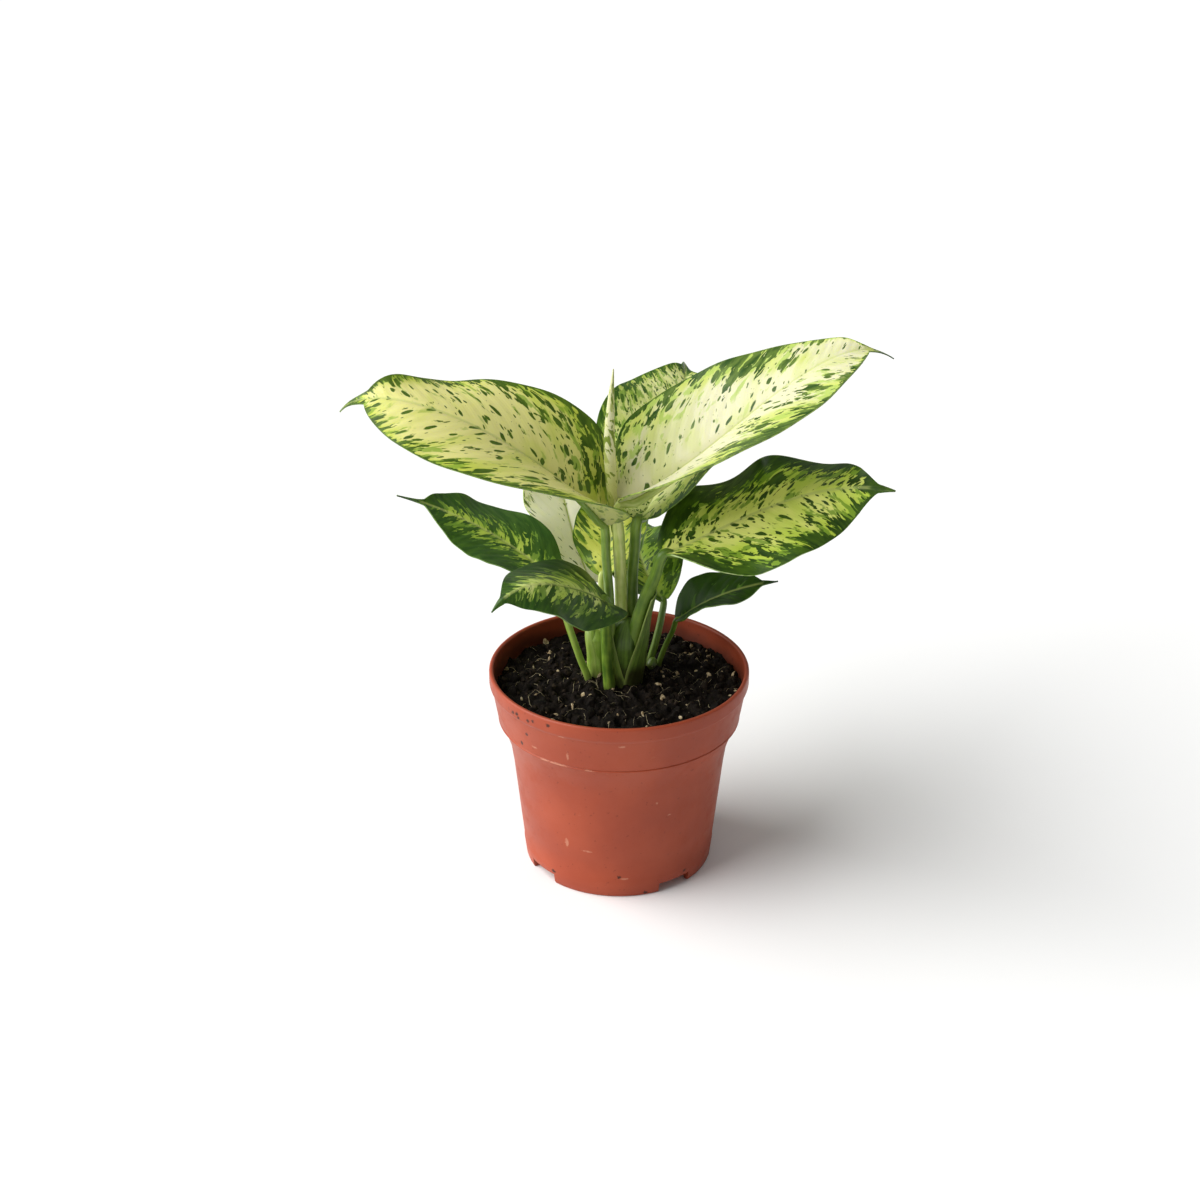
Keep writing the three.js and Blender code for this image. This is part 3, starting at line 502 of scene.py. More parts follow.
# Green flecks, blotches and margin over a pale blade, drawn out along its side veins.
def variegationGroup():
    inputs = {
        "Veins": ("Vector", None), "Cover": ("Float", 0.5), "Flecks": ("Float", 0.5), "Seed": ("Float", 0.0),
        "Middle": ("Color", None), "Outer": ("Color", None), "Halo": ("Color", None), "Dark": ("Color", None),
    }
    group, given, result = newGroup("variegation", inputs, {"Color": "Color", "Green": "Float", "Height": "Float"})
    given = given.outputs
    seed, cover = given["Seed"], given["Cover"]

    def even(value, low=0.34, high=0.66):
        return step(group, value, low, high)

    def layer(scale, offset, detail=2.0, roughness=0.55):
        return grain(group, stretch(group, drifted, (*scale, 1)), calculate(group, "ADD", seed, offset),
                     detail, roughness)

    def flecks(scale, offset, chance, least, growth):
        # one fleck in each cell that draws a lot above 1 - chance
        start = calculate(group, "MULTIPLY_ADD", seed, 7.3, offset)
        place = put(group, "ShaderNodeMapping", {"Vector": drifted, "Location": start, "Scale": (*scale, 1)})
        cells = put(group, "ShaderNodeTexVoronoi", {"Vector": place.outputs[0], "Scale": 1.0},
                    voronoi_dimensions="2D")
        lot = put(group, "ShaderNodeSeparateColor", {0: cells.outputs["Color"]}).outputs[0]
        luck = calculate(group, "SUBTRACT", lot, calculate(group, "SUBTRACT", 1.0, chance))
        size = calculate(group, "MULTIPLY_ADD", luck, growth, least)
        size = calculate(group, "MULTIPLY", size, calculate(group, "GREATER_THAN", luck, 0.0))
        ragged = calculate(group, "MULTIPLY_ADD", rough, 0.3, -0.15)
        near = calculate(group, "ADD", cells.outputs["Distance"], ragged)
        return step(group, calculate(group, "SUBTRACT", size, near), -0.03, 0.03)

    drift = grain(group, stretch(group, given["Veins"], (0.13, 0.09, 1)), seed, output=1)
    drift = put(group, "ShaderNodeVectorMath", {0: drift, 1: (0.5, 0.5, 0.5)}, operation="SUBTRACT").outputs[0]
    drifted = put(group, "ShaderNodeVectorMath", {0: drift, 1: (7, 7, 0), 2: given["Veins"]},
                  operation="MULTIPLY_ADD").outputs[0]
    rough = layer((0.6, 0.36), 5.7)
    blotch = layer((0.17, 0.12), 0.0, 3.0)
    mixed = calculate(group, "MULTIPLY_ADD", blotch, 0.56, calculate(group, "MULTIPLY", rough, 0.44))
    above = calculate(group, "SUBTRACT", even(mixed, 0.36, 0.64), calculate(group, "SUBTRACT", 1.0, cover))
    dark = step(group, above, -0.02, 0.05)
    big = flecks((0.22, 0.13), 1.3, calculate(group, "MULTIPLY_ADD", cover, 0.25, given["Flecks"]), 0.1, 0.24)
    small = flecks((0.42, 0.26), 8.9, calculate(group, "MULTIPLY_ADD", given["Flecks"], 0.25,
                   calculate(group, "MULTIPLY", cover, 0.7)), 0.12, 0.22)
    dark = calculate(group, "MAXIMUM", dark, calculate(group, "MAXIMUM", big, small))
    middling = even(layer((0.27, 0.17), 3.1, 3.0))
    reach = calculate(group, "MULTIPLY_ADD", cover, 1.1, 0.0)
    halo = step(group, calculate(group, "SUBTRACT", middling, calculate(group, "SUBTRACT", 1.0, reach)), -0.06, 0.14)
    clouds = even(layer((0.1, 0.05), 6.6))
    outward = calculate(group, "MULTIPLY_ADD", cover, 1.5, calculate(group, "MULTIPLY_ADD", clouds, 0.7, -0.3))
    pale = mixColour(group, step(group, outward, 0.0, 1.0), given["Middle"], given["Outer"])
    pale = mixColour(group, calculate(group, "MULTIPLY", halo, 0.8), pale, given["Halo"])
    deep = mixColour(group, calculate(group, "MULTIPLY", middling, 0.3), given["Dark"], given["Halo"])
    colour = mixColour(group, dark, pale, deep)
    origin = put(group, "ShaderNodeSeparateXYZ", {0: given["Veins"]}).outputs[0]
    fine = calculate(group, "SINE", calculate(group, "MULTIPLY", origin, 2 * math.pi / 1.4))
    group.links.new(colour, result.inputs["Color"])
    group.links.new(dark, result.inputs["Green"])
    group.links.new(calculate(group, "MULTIPLY_ADD", fine, 0.12, rough), result.inputs["Height"])
    return group


leafFinish = {
    "roughness": (0.5, 0.4), "specular": 0.25, "underTint": "b4c484", "ribShare": 0.5,
    "ribWidth": (0.4, 1.1), "rib": "b3bd72", "glow": 0.3, "glowRadius": (0.9, 1.0, 0.25), "glowDepth": 2.0,
}


def setGlow(surface):
    # thin living tissue lets light through
    surface.inputs["Subsurface Weight"].default_value = leafFinish["glow"]
    surface.inputs["Subsurface Radius"].default_value = leafFinish["glowRadius"]
    surface.inputs["Subsurface Scale"].default_value = leafFinish["glowDepth"] * millimetre
    surface.inputs["Specular IOR Level"].default_value = leafFinish["specular"]


def leafMaterial(name, leaf, group, under):
    material, tree, surface = newMaterial(name + ("_under" if under else "_top"))
    veins = put(tree, "ShaderNodeUVMap", uv_map="veins").outputs[0]
    values = {
        "Veins": stretch(tree, veins, (*leaf["grain"], 1)),
        "Cover": put(tree, "ShaderNodeAttribute", attribute_name="cover").outputs["Fac"],
        "Flecks": leaf["flecks"], "Seed": leaf["seed"],
    }
    for key in ("Middle", "Outer", "Halo", "Dark"):
        values[key] = paint(leaf[key.lower()])
    pattern = useGroup(tree, group, values)
    colour = pattern.outputs["Color"]
    out = calculate(tree, "ABSOLUTE", put(tree, "ShaderNodeSeparateXYZ", {0: veins}).outputs[1])
    onRib = step(tree, out, *leafFinish["ribWidth"], leafFinish["ribShare"], 0.0)
    onRib = calculate(tree, "MULTIPLY", onRib, step(tree, values["Cover"], 0.9, 1.3, 1.0, 0.0))
    colour = mixColour(tree, onRib, colour, paint(leafFinish["rib"]))
    if under:
        colour = mixColour(tree, 0.35, colour, paint(leafFinish["underTint"]))
    tree.links.new(colour, surface.inputs["Base Color"])
    tree.links.new(step(tree, pattern.outputs["Green"], 0, 1, *leafFinish["roughness"]), surface.inputs["Roughness"])
    setGlow(surface)
    addBump(tree, surface, pattern.outputs["Height"], 0.05)
    return material


def edgeMaterial(name, leaf):
    material, tree, surface = newMaterial(name + "_edge", 0.45)
    share = step(tree, grain(tree, objectCoordinates(tree), 3.0, scale=0.4), 0.35, 0.65)
    colour = mixColour(tree, share, paint(leaf["edge"]), paint(leaf["halo"]))
    cover = put(tree, "ShaderNodeAttribute", attribute_name="cover").outputs["Fac"]
    colour = mixColour(tree, step(tree, cover, 1.5, 1.9), colour, paint(leaf["dark"]))
    tree.links.new(colour, surface.inputs["Base Color"])
    return material


def addBlade(name, leaf, group):
    columns, rows = blade["columns"], blade["rows"]

    def shares(along, across):
        return blade["firstRow"] + (blade["lastRow"] - blade["firstRow"]) * along, 1 - 2 * across

    sheet, grid = bentSheet("blade_" + name, rows, columns, lambda s, t: bladePoint(leaf, *shares(s, t)))
    s, v = shares(grid[:, 0], grid[:, 1])
    addMap(sheet, "veins", np.column_stack(veinPlace(leaf, s, v)))
    addAttribute(sheet, "cover", coverAt(leaf, s, v))
    sheet.data.materials.append(leafMaterial("leaf_" + name, leaf, group, False))
    sheet.data.materials.append(leafMaterial("leaf_" + name, leaf, group, True))
    sheet.data.materials.append(edgeMaterial("leaf_" + name, leaf))
    modify(sheet, "SOLIDIFY", thickness=blade["thickness"] * millimetre, offset=0, material_offset=1,
           material_offset_rim=2)
    selectOnly(sheet)
    bpy.ops.object.shade_smooth_by_angle(angle=math.radians(50))
    return finishPiece(sheet, ["leaf_" + name])


# ---- stalks, stems and sheaths ----

stalkTones = {
    "darkStalk": {"dark": "64822a", "pale": "8aa648", "foot": 3},
    "greenStalk": {"dark": "52711c", "pale": "789434", "foot": 1},
    "paleStalk": {"dark": "a9bc58", "pale": "d9e08e", "foot": 0},
    "stemTone": {"dark": "40591a", "pale": "67852f", "foot": 7},
    "shadeStalk": {"dark": "45641a", "pale": "7f9c34", "foot": -1},
    "freshStalk": {"dark": "84a23a", "pale": "a6bc5c", "foot": 0},
}
stalkFinish = {"roughness": 0.42, "foot": "2a2212", "footHeight": (88, 95), "bump": 0.04}
stems = {
    "stem_main": {
        "line": [(3, 3.4, 70), (3, 3.4, 88), (2.8, 3.8, 101), (3, 4, 112), (4, 3.4, 121)],
        "radii": (5.4, 6.2, 8, 8.6, 6.6), "tone": "stemTone",
    },
    "stem_left": {
        "line": [(-9.8, 6.8, 70), (-9.8, 7, 88), (-10.4, 9.2, 104), (-10.6, 9.8, 112)],
        "radii": (2.9, 3.2, 3.9, 4.2), "tone": "freshStalk",
    },
    "stem_right": {
        "line": [(15.8, 16, 70), (15.8, 16, 86), (16, 16.2, 94)],
        "radii": (4, 4.2, 2.6), "tone": "greenStalk",
    },
}
# Open sheaths round the stem. Each faces an angle from the right, and wraps round by its angles
# from foot to top. Their free edges are pale.
sheaths = {
    "right": {
        "line": [(3.4, 3.2, 86), (4.2, 2.4, 100), (7, 1, 115), (10.2, -0.8, 129), (12.4, -1.8, 138)],
        "radii": (6.9, 8.3, 7.2, 5.4, 4.6), "facing": (-5, 15), "wrap": (200, 130), "tone": "stemTone",
        "stem": "stem_main",
    },
    "upper_left": {
        "line": [(1.6, 2.4, 86), (-0.6, 2, 100), (-2.6, 1.4, 116), (-3.8, 1.2, 130)],
        "radii": (6.7, 6.6, 4.6, 3.2), "facing": (205, 195), "wrap": (170, 110), "tone": "darkStalk",
        "stem": "stem_main",
    },
    "rear_left": {
        "line": [(-10, 7, 86), (-10.6, 8.6, 98), (-12.4, 9.4, 108), (-12.6, 12, 113)],
        "radii": (3.9, 4.4, 3.4, 2.8), "facing": (200, 230), "wrap": (190, 110), "tone": "freshStalk",
        "stem": "stem_left",
    },
}
sheathFinish = {"rows": 70, "columns": 36, "thickness": 0.45, "edge": "9db05c", "edgeWidth": (0.05, 0.01)}


# Pale streaks that run up a stalk, and its earthy foot.
def streakGroup():
    inputs = {"Place": ("Vector", None), "Up": ("Vector", None), "Foot": ("Float", 0.0), "Dark": ("Color", None),
              "Pale": ("Color", None)}
    group, given, result = newGroup("stalkStreaks", inputs, {"Color": "Color", "Height": "Float"})
    given = given.outputs
    streak = grain(group, stretch(group, given["Place"], (0.04, 0.8, 1)), 2.0, detail=2, roughness=0.5)
    mottle = grain(group, stretch(group, given["Place"], (0.12, 0.3, 1)), 9.0, detail=2)
    share = calculate(group, "ADD", streak, calculate(group, "MULTIPLY_ADD", mottle, 0.8, -0.4))
    colour = mixColour(group, step(group, share, 0.28, 0.76), given["Dark"], given["Pale"])
    height = put(group, "ShaderNodeSeparateXYZ", {0: given["Up"]}).outputs[2]
    height = calculate(group, "SUBTRACT", height, given["Foot"])
    height = calculate(group, "MULTIPLY_ADD", mottle, 6.0, calculate(group, "SUBTRACT", height, 3.0))
    low, high = stalkFinish["footHeight"]
    earthy = step(group, height, low, high, 0.8, 0.0)
    colour = mixColour(group, earthy, colour, paint(stalkFinish["foot"]))
    group.links.new(colour, result.inputs["Color"])
    group.links.new(streak, result.inputs["Height"])
    return group


def stalkMaterial(name, tone, group):
    material, tree, surface = newMaterial(name, stalkFinish["roughness"])
    values = {
        "Place": put(tree, "ShaderNodeUVMap", uv_map="stalk").outputs[0], "Up": objectCoordinates(tree),
        "Dark": paint(stalkTones[tone]["dark"]), "Pale": paint(stalkTones[tone]["pale"]),
        "Foot": stalkTones[tone]["foot"],
    }
    streaks = useGroup(tree, group, values)
    margin = put(tree, "ShaderNodeAttribute", attribute_name="margin").outputs["Fac"]
    colour = mixColour(tree, calculate(tree, "MULTIPLY", margin, 0.7), streaks.outputs["Color"],
                       paint(sheathFinish["edge"]))
    tree.links.new(colour, surface.inputs["Base Color"])
    surface.inputs["Subsurface Weight"].default_value = 0.15
    surface.inputs["Subsurface Radius"].default_value = (0.6, 1.0, 0.25)
    surface.inputs["Subsurface Scale"].default_value = 1.5 * millimetre
    addBump(tree, surface, streaks.outputs["Height"], stalkFinish["bump"])
    return material


# A round stalk through the points, its radius given as a function of the share of its length.
def addTube(name, points, radiusAt, rows=60, sides=20):
    line, length = smoothLine(points, rows + 1)
    side, across = crossFrame(line, (1, 0, 0))

    def place(s, t):
        row = np.rint(s * rows).astype(int)
        angle = (-2 * np.pi * t)[:, None]
        ends = np.sqrt(np.clip(np.minimum(s, 1 - s) * length / np.maximum(radiusAt(s), 0.01), 0, 1))
        radius = (radiusAt(s) * ends)[:, None]
        return line[row] + radius * (side[row] * np.cos(angle) + across[row] * np.sin(angle))

    tube, grid = bentSheet(name, rows, sides, place)
    girth = 2 * np.pi * float(np.mean(radiusAt(np.linspace(0, 1, 9))))
    addMap(tube, "stalk", np.column_stack([grid[:, 0] * length, grid[:, 1] * girth]))
    closeUp(tube)
    selectOnly(tube)
    bpy.ops.object.shade_smooth()
    return tube


def addStalk(name, leaf, materials):
    stalk = [*leaf["stalk"], leaf["base"]]
    stalkLength = smoothLine(stalk, 2)[1]
    shares = np.array([0.05, 0.12, 0.22, 0.34, 0.48, 0.62, 0.74, 0.83])
    thick, thin = leaf["stalkRadius"]

    def ribRadius(s):
        return thin + (rib["tipRadius"] - thin) * s ** rib["taper"]

    drop = ribRadius(shares) + blade["channelDepth"] * (1 - shares) ** 0.5 - 0.1
    ribLine = midribPoint(leaf, shares) - upward * drop[:, None]
    points = [*stalk, *ribLine]
    whole = smoothLine(points, 2)[1]
    turn = stalkLength / whole

    def radiusAt(s):
        below = thick + (thin - thick) * np.clip(s / turn, 0, 1)
        return np.where(s < turn, below, ribRadius(np.clip((s - turn) / (1 - turn), 0, 1)))

    tube = addTube("stalk_" + name, points, radiusAt, rows=110, sides=rib["sides"])
    tube.data.materials.append(materials[leaf["stalkTone"]])
    return finishPiece(tube, ["leaf_" + name])


def addStem(name, stem, materials):
    count = len(stem["line"]) - 1

    def radiusAt(s):
        return np.interp(s * count, range(count + 1), stem["radii"])

    tube = addTube(name + "_core", stem["line"], radiusAt, rows=50, sides=32)
    tube.data.materials.append(materials[stem["tone"]])
    return finishPiece(tube, [name])


def addSheath(name, sheath, materials):
    rows, columns = sheathFinish["rows"], sheathFinish["columns"]
    line, length = smoothLine(sheath["line"], rows + 1)
    side, across = crossFrame(line, (1, 0, 0))
    count = len(sheath["radii"]) - 1

    def place(s, t):
        row = np.rint(s * rows).astype(int)
        radius = np.interp(s * count, range(count + 1), sheath["radii"])[:, None]
        facing = sheath["facing"][0] + (sheath["facing"][1] - sheath["facing"][0]) * s
        wrap = sheath["wrap"][0] + (sheath["wrap"][1] - sheath["wrap"][0]) * s
        wrap = wrap * np.sqrt(np.clip((1 - s) / 0.06, 0, 1)) + 4
        angle = np.radians(facing + wrap * (0.5 - t))[:, None]
        return line[row] + radius * (side[row] * np.cos(angle) + across[row] * np.sin(angle))

    sheet, grid = bentSheet("sheath_" + name, rows, columns, place)
    girth = math.radians(sheath["wrap"][0]) * max(sheath["radii"])
    addMap(sheet, "stalk", np.column_stack([grid[:, 0] * length, grid[:, 1] * girth]))
    margin = np.minimum(np.minimum(grid[:, 1], 1 - grid[:, 1]), (1 - grid[:, 0]) * 2)
    addAttribute(sheet, "margin", 1 - smooth(margin, *reversed(sheathFinish["edgeWidth"])))
    sheet.data.materials.append(materials[sheath["tone"]])
    modify(sheet, "SOLIDIFY", thickness=sheathFinish["thickness"] * millimetre, offset=0)
    selectOnly(sheet)
    bpy.ops.object.shade_smooth_by_angle(angle=math.radians(50))
    return finishPiece(sheet, [sheath["stem"]])


# ---- rolled leaf ----

rolledLeaf = {
    "line": [(-2.2, 4.4, 164), (-3, 4, 178), (-4.6, 4, 208), (-4, 4, 228), (-3, 4, 241.5)],
    "radius": 2.9, "footRadius": 1.5, "tipRadius": 0.3, "widest": 0.5, "taper": 1.4, "wraps": 1.45,
    "lift": 0.2, "turns": 0.8, "rows": 140, "columns": 60, "thickness": 0.4,
    "middle": "dfdfae", "outer": "c9cd80", "halo": "9daa4c", "dark": "768a34", "edge": "a9b562",
    "grain": (0.9, 0.9), "flecks": 0.3, "seed": 5, "cover": (0.2, 0.28),
}


def addRolledLeaf(group):
    rows = rolledLeaf["rows"]
    line, length = smoothLine(rolledLeaf["line"], rows + 1)
    side, across = crossFrame(line, (1, 0, 0))

    def place(s, t):
        row = np.rint(s * rows).astype(int)
        widest = rolledLeaf["widest"]
        grow = np.sin(np.pi / 2 * np.clip(s / widest, 0, 1))
        fade = np.clip((s - widest) / (1 - widest), 0, 1) ** rolledLeaf["taper"]
        radius = rolledLeaf["footRadius"] + (rolledLeaf["radius"] - rolledLeaf["footRadius"]) * grow
        radius = radius + (rolledLeaf["tipRadius"] - rolledLeaf["radius"]) * fade
        turn = t * rolledLeaf["wraps"]
        radius = radius * (1 - rolledLeaf["lift"] * (1 - t))
        angle = (-2 * np.pi * (turn + rolledLeaf["turns"] * s))[:, None]
        return line[row] + radius[:, None] * (side[row] * np.cos(angle) + across[row] * np.sin(angle))

    sheet, grid = bentSheet("leaf_rolled_blade", rows, rolledLeaf["columns"], place)
    girth = 2 * np.pi * rolledLeaf["radius"] * rolledLeaf["wraps"]
    addMap(sheet, "veins", np.column_stack([grid[:, 0] * length * 0.5 - grid[:, 1] * girth * 0.2,
                                           grid[:, 1] * girth]))
    middle, change = rolledLeaf["cover"]
    addAttribute(sheet, "cover", middle + change * np.abs(2 * grid[:, 1] - 1))
    sheet.data.materials.append(leafMaterial("leaf_rolled", rolledLeaf, group, False))
    modify(sheet, "SOLIDIFY", thickness=rolledLeaf["thickness"] * millimetre, offset=-1)
    selectOnly(sheet)
    bpy.ops.object.shade_smooth_by_angle(angle=math.radians(50))
    return finishPiece(sheet, ["leaf_rolled"])


# ---- pot ----

pot = {
    "height": 98, "lipRadius": 60, "lipDepth": 8, "lipStep": 1.2, "lipThickness": 2.2, "lipRound": 1.0,
    "collarFoot": 72, "collarEdge": 73.4, "collarStep": 0.7, "collarRadius": 56, "shoulderFoot": 58, "bodyRadius": 50.2,
    "baseRadius": 44,
    "baseCorner": 1.2, "wall": 1.5, "floorHeight": 5.5, "floorThickness": 1.8, "floorCorner": 2,
    "padRadius": 9, "segments": 192,
}
notch = {"count": 4, "first": -54, "width": 17, "height": 5, "depth": 14}
# the soil colour serves both the soil specks on the outside and the painted shade on the wall inside
potFinish = {
    "colour": "963f26", "light": "a3482c", "dark": "6b2b19", "dust": "c48a6e", "soil": "24150d",
    "specular": 0.3, "roughness": 0.5, "markReach": 0.35,
}
# Marks on the outside: angle round the pot, height, half width and half height.
soilSpecks = [
    (-143, 93.5, 1.2, 0.9), (-140, 94, 1, 0.9), (-139, 92.5, 0.9, 0.8), (-133, 93.5, 1, 0.8),
    (-130, 94.4, 0.8, 0.8), (-122, 95, 1, 0.8), (-136, 84.5, 1, 0.9), (-141, 77.5, 1, 1),
    (-133, 7, 1.2, 1), (-90, 11.5, 1, 0.9), (-74, 1.6, 1.1, 0.9), (-47, 7.5, 1.1, 0.9),
]
scuffs = [
    (-120, 74, 4.5, 0.8), (-127, 74, 2.4, 0.7), (-104, 73.9, 2.2, 0.6), (-89, 88.5, 1.6, 0.5), (-116, 90.5, 1.6, 0.5), (-132, 79, 1.5, 0.6),
    (-114, 80, 0.6, 2.2), (-121, 27, 0.9, 2.4), (-108, 25, 2.2, 0.5), (-87, 10.5, 2, 0.5),
    (-70, 52, 0.6, 0.8), (-62, 44, 1.2, 0.4),
]


# The pot's outer radius at a height. The shoulder is soft at its foot and ends in the collar's edge.
def potRadius(z):
    share = np.clip((z - pot["shoulderFoot"]) / (pot["collarEdge"] - pot["shoulderFoot"]), 0, 1)
    flare = pot["collarRadius"] - pot["collarStep"] - pot["bodyRadius"]
    body = np.interp(z, (0, pot["shoulderFoot"]), (pot["baseRadius"], pot["bodyRadius"])) + flare * share ** 1.4
    underLip = pot["height"] - pot["lipDepth"]
    collar = np.interp(z, (pot["collarEdge"], underLip, underLip + 1.4),
                       (pot["collarRadius"] + 0.2, pot["lipRadius"] - pot["lipStep"], pot["lipRadius"]))
    return np.where(z > pot["collarEdge"], collar, body)


def potInnerRadius(z):
    return np.minimum(potRadius(z) - pot["wall"], pot["lipRadius"] - pot["lipThickness"])


# The pot's section as radius and height, from the pad under its floor round to the floor inside.
def potProfile():
    p = pot
    shoulder = [(potRadius(z), z) for z in np.linspace(p["shoulderFoot"], p["collarEdge"], 9)]
    # a fine groove runs round just over the edge
    for rise, cut in ((0.3, 0.0), (0.8, 0.0), (1.1, 0.4), (1.4, 0.0)):
        shoulder.append((p["collarRadius"] + 0.2 - cut, p["collarEdge"] + rise))
    under = p["floorHeight"] - p["floorThickness"]
    ringInner = p["baseRadius"] - 2 * p["wall"]
    foot = [(p["padRadius"], under), (ringInner, under), (ringInner, 0.4), (ringInner + 0.4, 0),
            (p["baseRadius"] - p["baseCorner"], 0), (p["baseRadius"] - 0.35, 0.35),
            (p["baseRadius"], p["baseCorner"])]
    seam = [(potRadius(8.8), 8.8), (potRadius(9.2) - 0.25, 9.2)]
    body = [(potRadius(z) - 0.25, z) for z in (20, 38, 52)]
    top = p["height"]
    underLip = top - p["lipDepth"]
    collarTop = p["lipRadius"] - p["lipStep"]
    lip = [(collarTop, underLip), (collarTop + 0.2, underLip + 0.5), (p["lipRadius"] - 0.2, underLip + 1.4),
           (p["lipRadius"], underLip + 2.2), (p["lipRadius"], top - 1.4)]
    mouth = p["lipRadius"] - p["lipThickness"]
    middle, half = (p["lipRadius"] + mouth) / 2, p["lipThickness"] / 2
    rounding = [(middle + half * math.cos(a), top - half + half * math.sin(a))
                for a in np.radians(np.linspace(15, 165, 9))]
    inside = [(radius - p["wall"], z) for radius, z in reversed([(potRadius(52) - 0.25, 52), *shoulder[1:]])]
    corner = p["floorHeight"] + p["floorCorner"]
    bottom = [(potInnerRadius(20), 20), (potInnerRadius(corner), corner),
              (potInnerRadius(p["floorHeight"]) - p["floorCorner"], p["floorHeight"])]
    return [*foot, *seam, *body, *shoulder[1:], *lip, *rounding, (mouth, top - 1.6), (mouth, underLip + 1),
            *inside, *bottom]


def addPot():
    bpy.ops.object.select_all(action="DESELECT")
    radius, height = pot["padRadius"], 0.0
    bpy.ops.mesh.primitive_circle_add(vertices=pot["segments"], radius=radius * millimetre, fill_type="NGON")
    piece = bpy.context.object
    piece.name = "pot_shell"
    bpy.ops.object.mode_set(mode="EDIT")
    bpy.ops.mesh.select_all(action="SELECT")
    for nextRadius, nextHeight in potProfile():
        bpy.ops.mesh.extrude_edges_move()
        ratio = nextRadius / radius
        bpy.ops.transform.resize(value=(ratio, ratio, 1))
        bpy.ops.transform.translate(value=(0, 0, (nextHeight - height) * millimetre))
        radius, height = nextRadius, nextHeight
    bpy.ops.mesh.edge_face_add()
    bpy.ops.mesh.select_all(action="SELECT")
    bpy.ops.mesh.normals_make_consistent(inside=False)
    bpy.ops.object.mode_set(mode="OBJECT")
    for i in range(notch["count"]):
        cutNotch(piece, math.radians(notch["first"] + 360 / notch["count"] * i))
    modify(piece, "BEVEL", width=0.35 * millimetre, segments=2, limit_method="ANGLE",
           angle_limit=math.radians(50))
    selectOnly(piece)
    bpy.ops.object.shade_smooth_by_angle(angle=math.radians(40))
    piece.data.materials.append(potMaterial())
    return finishPiece(piece, ["pot"])


def cutNotch(piece, angle):
    bpy.ops.object.select_all(action="DESELECT")
    place = Vector((math.cos(angle), math.sin(angle), 0)) * pot["baseRadius"] * millimetre
    bpy.ops.mesh.primitive_cube_add(size=millimetre, location=place, rotation=(0, 0, angle),
                                    scale=(notch["depth"], notch["width"], 2 * notch["height"]))
    cutter = bpy.context.object
    modify(piece, "BOOLEAN", operation="DIFFERENCE", object=cutter, solver="EXACT")
    bpy.data.objects.remove(cutter)


# How far each point is from the nearest mark, in units of the mark's own size.
def markDistance(tree, place, marks):
    nearest = 9.0
    for angle, height, halfWidth, halfHeight in marks:
        radius = float(potRadius(height))
        turn = math.radians(angle)
        centre = (radius * math.cos(turn), radius * math.sin(turn), height)
        apart = put(tree, "ShaderNodeVectorMath", {0: place, 1: centre}, operation="SUBTRACT").outputs[0]
        size = (1 / halfWidth, 1 / halfWidth, 1 / halfHeight)
        apart = put(tree, "ShaderNodeVectorMath", {0: apart, 1: size}, operation="MULTIPLY").outputs[0]
        apart = put(tree, "ShaderNodeVectorMath", {0: apart}, operation="LENGTH").outputs["Value"]
        nearest = calculate(tree, "MINIMUM", apart, nearest)
    return nearest


def potMaterial():
    material, tree, surface = newMaterial("terracotta_plastic", potFinish["roughness"])
    place = objectCoordinates(tree)
    cloud = grain(tree, place, 1.0, detail=3, scale=0.03)
    colour = mixColour(tree, step(tree, cloud, 0.3, 0.7), paint(potFinish["colour"]), paint(potFinish["light"]))
    speck = grain(tree, place, 4.0, detail=2, scale=0.55)
    colour = mixColour(tree, step(tree, speck, 0.66, 0.72, 0, 0.5), colour, paint(potFinish["dark"]))
    dust = grain(tree, place, 7.0, detail=5, roughness=0.7, scale=0.12)
    colour = mixColour(tree, step(tree, dust, 0.64, 0.8, 0, 0.35), colour, paint(potFinish["dust"]))
    ragged = grain(tree, place, 9.0, detail=4, roughness=0.7, scale=1.4)
    for marks, tone, share in ((scuffs, "dust", 0.55), (soilSpecks, "soil", 0.9)):
        near = markDistance(tree, place, marks)
        near = calculate(tree, "ADD", near, calculate(tree, "MULTIPLY_ADD", ragged, 3.2, -1.5))
        shown = step(tree, near, 1 - potFinish["markReach"], 1 + potFinish["markReach"], share, 0.0)
        colour = mixColour(tree, shown, colour, paint(potFinish[tone]))
    # painted shade on the wall inside: the soil's colour laid over it, darkest at the soil and fading towards the rim
    x, y, z = put(tree, "ShaderNodeSeparateXYZ", {0: place}).outputs
    radius = calculate(tree, "POWER", calculate(tree, "ADD", calculate(tree, "MULTIPLY", x, x),
                                                calculate(tree, "MULTIPLY", y, y)), 0.5)
    # the collar leans outward, so the middle of its wall does too
    lean = (pot["lipRadius"] - pot["lipStep"] - pot["collarRadius"]) / (pot["height"] - pot["lipDepth"] - pot["collarFoot"])
    radius = calculate(tree, "SUBTRACT", radius, calculate(tree, "MULTIPLY_ADD", z, lean, -pot["collarFoot"] * lean))
    middle = pot["collarRadius"] - pot["wall"] / 2
    inside = step(tree, radius, middle - 0.25, middle + 0.25, 1.0, 0.0)
    insideShade = calculate(tree, "ADD", z, calculate(tree, "MULTIPLY_ADD", cloud, 14, -7))
    insideShade = calculate(tree, "MULTIPLY", inside, step(tree, insideShade, 88, 96, 0.75, 0.2))
    insideShade = calculate(tree, "MULTIPLY", insideShade, step(tree, z, 74, 80))
    colour = mixColour(tree, insideShade, colour, paint(potFinish["soil"]))
    surface.inputs["Specular IOR Level"].default_value = potFinish["specular"]
    tree.links.new(colour, surface.inputs["Base Color"])
    tree.links.new(step(tree, dust, 0.4, 0.8, 0.42, 0.62), surface.inputs["Roughness"])
    addBump(tree, surface, grain(tree, place, 2.0, detail=3, scale=0.8), 0.03)
    return material


# ---- soil ----

